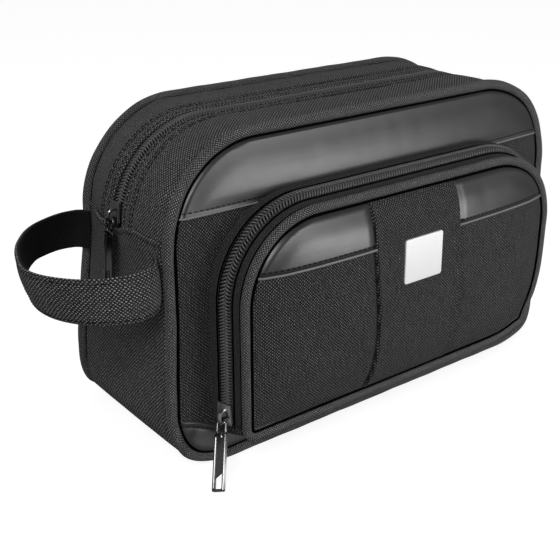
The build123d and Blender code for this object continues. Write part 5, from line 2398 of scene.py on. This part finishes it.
@dataclass
class Studio:
    """The pale floor, the soft lights and the camera.

    Attributes:
        camera_place: Where the camera stands, in metres.
        camera_turn: Its turn to the left of the bag's front, in degrees.
        camera_drop: How far it looks down, in degrees.
        lens: Its focal length over a frame of the given width, both in millimetres.
        frame_width: The width of the camera's frame.
    """

    camera_place: tuple[float, float, float] = (-0.3507, -0.4146, 0.2876)
    camera_turn: float = -37.70
    camera_drop: float = 23.23
    lens: float = 64.125
    frame_width: float = 36.0

    def camera(self) -> None:
        """Sets up the camera at the photograph's view."""
        turn, drop = math.radians(self.camera_turn), math.radians(self.camera_drop)
        back = Vector(
            (math.sin(turn) * math.cos(drop), -math.cos(turn) * math.cos(drop), math.sin(drop))
        )
        data = bpy.data.cameras.new("camera")
        data.lens, data.sensor_width, data.sensor_fit = self.lens, self.frame_width, "HORIZONTAL"
        data.clip_start = 0.01
        camera = bpy.data.objects.new("camera", data)
        camera.location = self.camera_place
        camera.rotation_euler = (-back).to_track_quat("-Z", "Y").to_euler()
        bpy.context.scene.collection.objects.link(camera)
        bpy.context.scene.camera = camera

    def floor(self) -> None:
        """Lays a wide pale floor that reads as white and still takes a soft shadow."""
        size = 6.0
        mesh = bpy.data.meshes.new("floor")
        corners = [(-size, -size, 0), (size, -size, 0), (size, size, 0), (-size, size, 0)]
        mesh.from_pydata(corners, [], [(0, 1, 2, 3)])
        material = bpy.data.materials.new("floor")
        material.use_nodes = True
        tree = material.node_tree
        shader = tree.nodes["Principled BSDF"]
        shader.inputs["Base Color"].default_value = grey(158.0)
        shader.inputs["Roughness"].default_value = 0.9
        shader.inputs["Specular IOR Level"].default_value = 0.1
        rays = tree.nodes.new("ShaderNodeLightPath")
        lift = tree.nodes.new("ShaderNodeMath")
        lift.operation = "MULTIPLY"
        lift.inputs[1].default_value = 0.88
        tree.links.new(rays.outputs["Is Camera Ray"], lift.inputs[0])
        shader.inputs["Emission Color"].default_value = (1, 1, 1, 1)
        tree.links.new(lift.outputs[0], shader.inputs["Emission Strength"])
        mesh.materials.append(material)
        floor = bpy.data.objects.new("floor", mesh)
        bpy.context.scene.collection.objects.link(floor)

    def world(self) -> None:
        """Sets a white surround for what is seen, and a softer one for the light it gives."""
        world = bpy.data.worlds.new("surround")
        bpy.context.scene.world = world
        world.use_nodes = True
        tree = world.node_tree
        ground = tree.nodes["Background"]
        rays = tree.nodes.new("ShaderNodeLightPath")
        seen = tree.nodes.new("ShaderNodeMath")
        seen.operation = "MAXIMUM"
        tree.links.new(rays.outputs["Is Camera Ray"], seen.inputs[0])
        tree.links.new(rays.outputs["Is Transmission Ray"], seen.inputs[1])
        strength = tree.nodes.new("ShaderNodeMath")
        strength.operation = "MULTIPLY_ADD"
        strength.inputs[1].default_value = 0.78
        strength.inputs[2].default_value = 0.22
        tree.links.new(seen.outputs[0], strength.inputs[0])
        tree.links.new(strength.outputs[0], ground.inputs["Strength"])
        ground.inputs["Color"].default_value = (1, 1, 1, 1)

    def build(self) -> None:
        """Sets up everything round the bag."""
        scene = bpy.context.scene
        scene.view_settings.view_transform = "Standard"
        self.camera()
        self.floor()
        self.world()
        target = (0.0, 0.0, 0.08)
        for lamp in (
            Lamp("key", (-0.95, -0.85, 1.05), target, 0.6, 0.6, 8.0),
            Lamp("low_front", (0.45, -0.95, 0.21), (-0.04, -0.05, 0.13), 0.34, 0.38, 5.0),
            Lamp("floor_card", (0.23, -0.47, 0.03), (-0.05, -0.05, 0.13), 0.24, 0.15, 6.8),
            Lamp("top", (0.1, 0.25, 1.3), target, 0.8, 0.8, 0.7),
        ):
            lamp.build()
        LOG.info("set up the floor, the lights and the camera")


def main() -> None:
    """Builds the bag's looks in order."""
    logging.basicConfig(level=logging.INFO, format="%(name)s: %(message)s")
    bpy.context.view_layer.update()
    bench, lines = Bench(), BagLines()
    Studio().build()
    BodyCloth(bench, lines).build()
    Panels(bench, lines, Filling()).build()
    MainZip(bench, lines).build()
    FrontPocket(bench, lines, Filling(most=1.3, seed=3)).build()
    SideStrap(bench, lines).build()
    Hardware(bench).build()
    LOG.info("made %d pieces", len(bench.made))


if __name__ == "__main__":
    main()
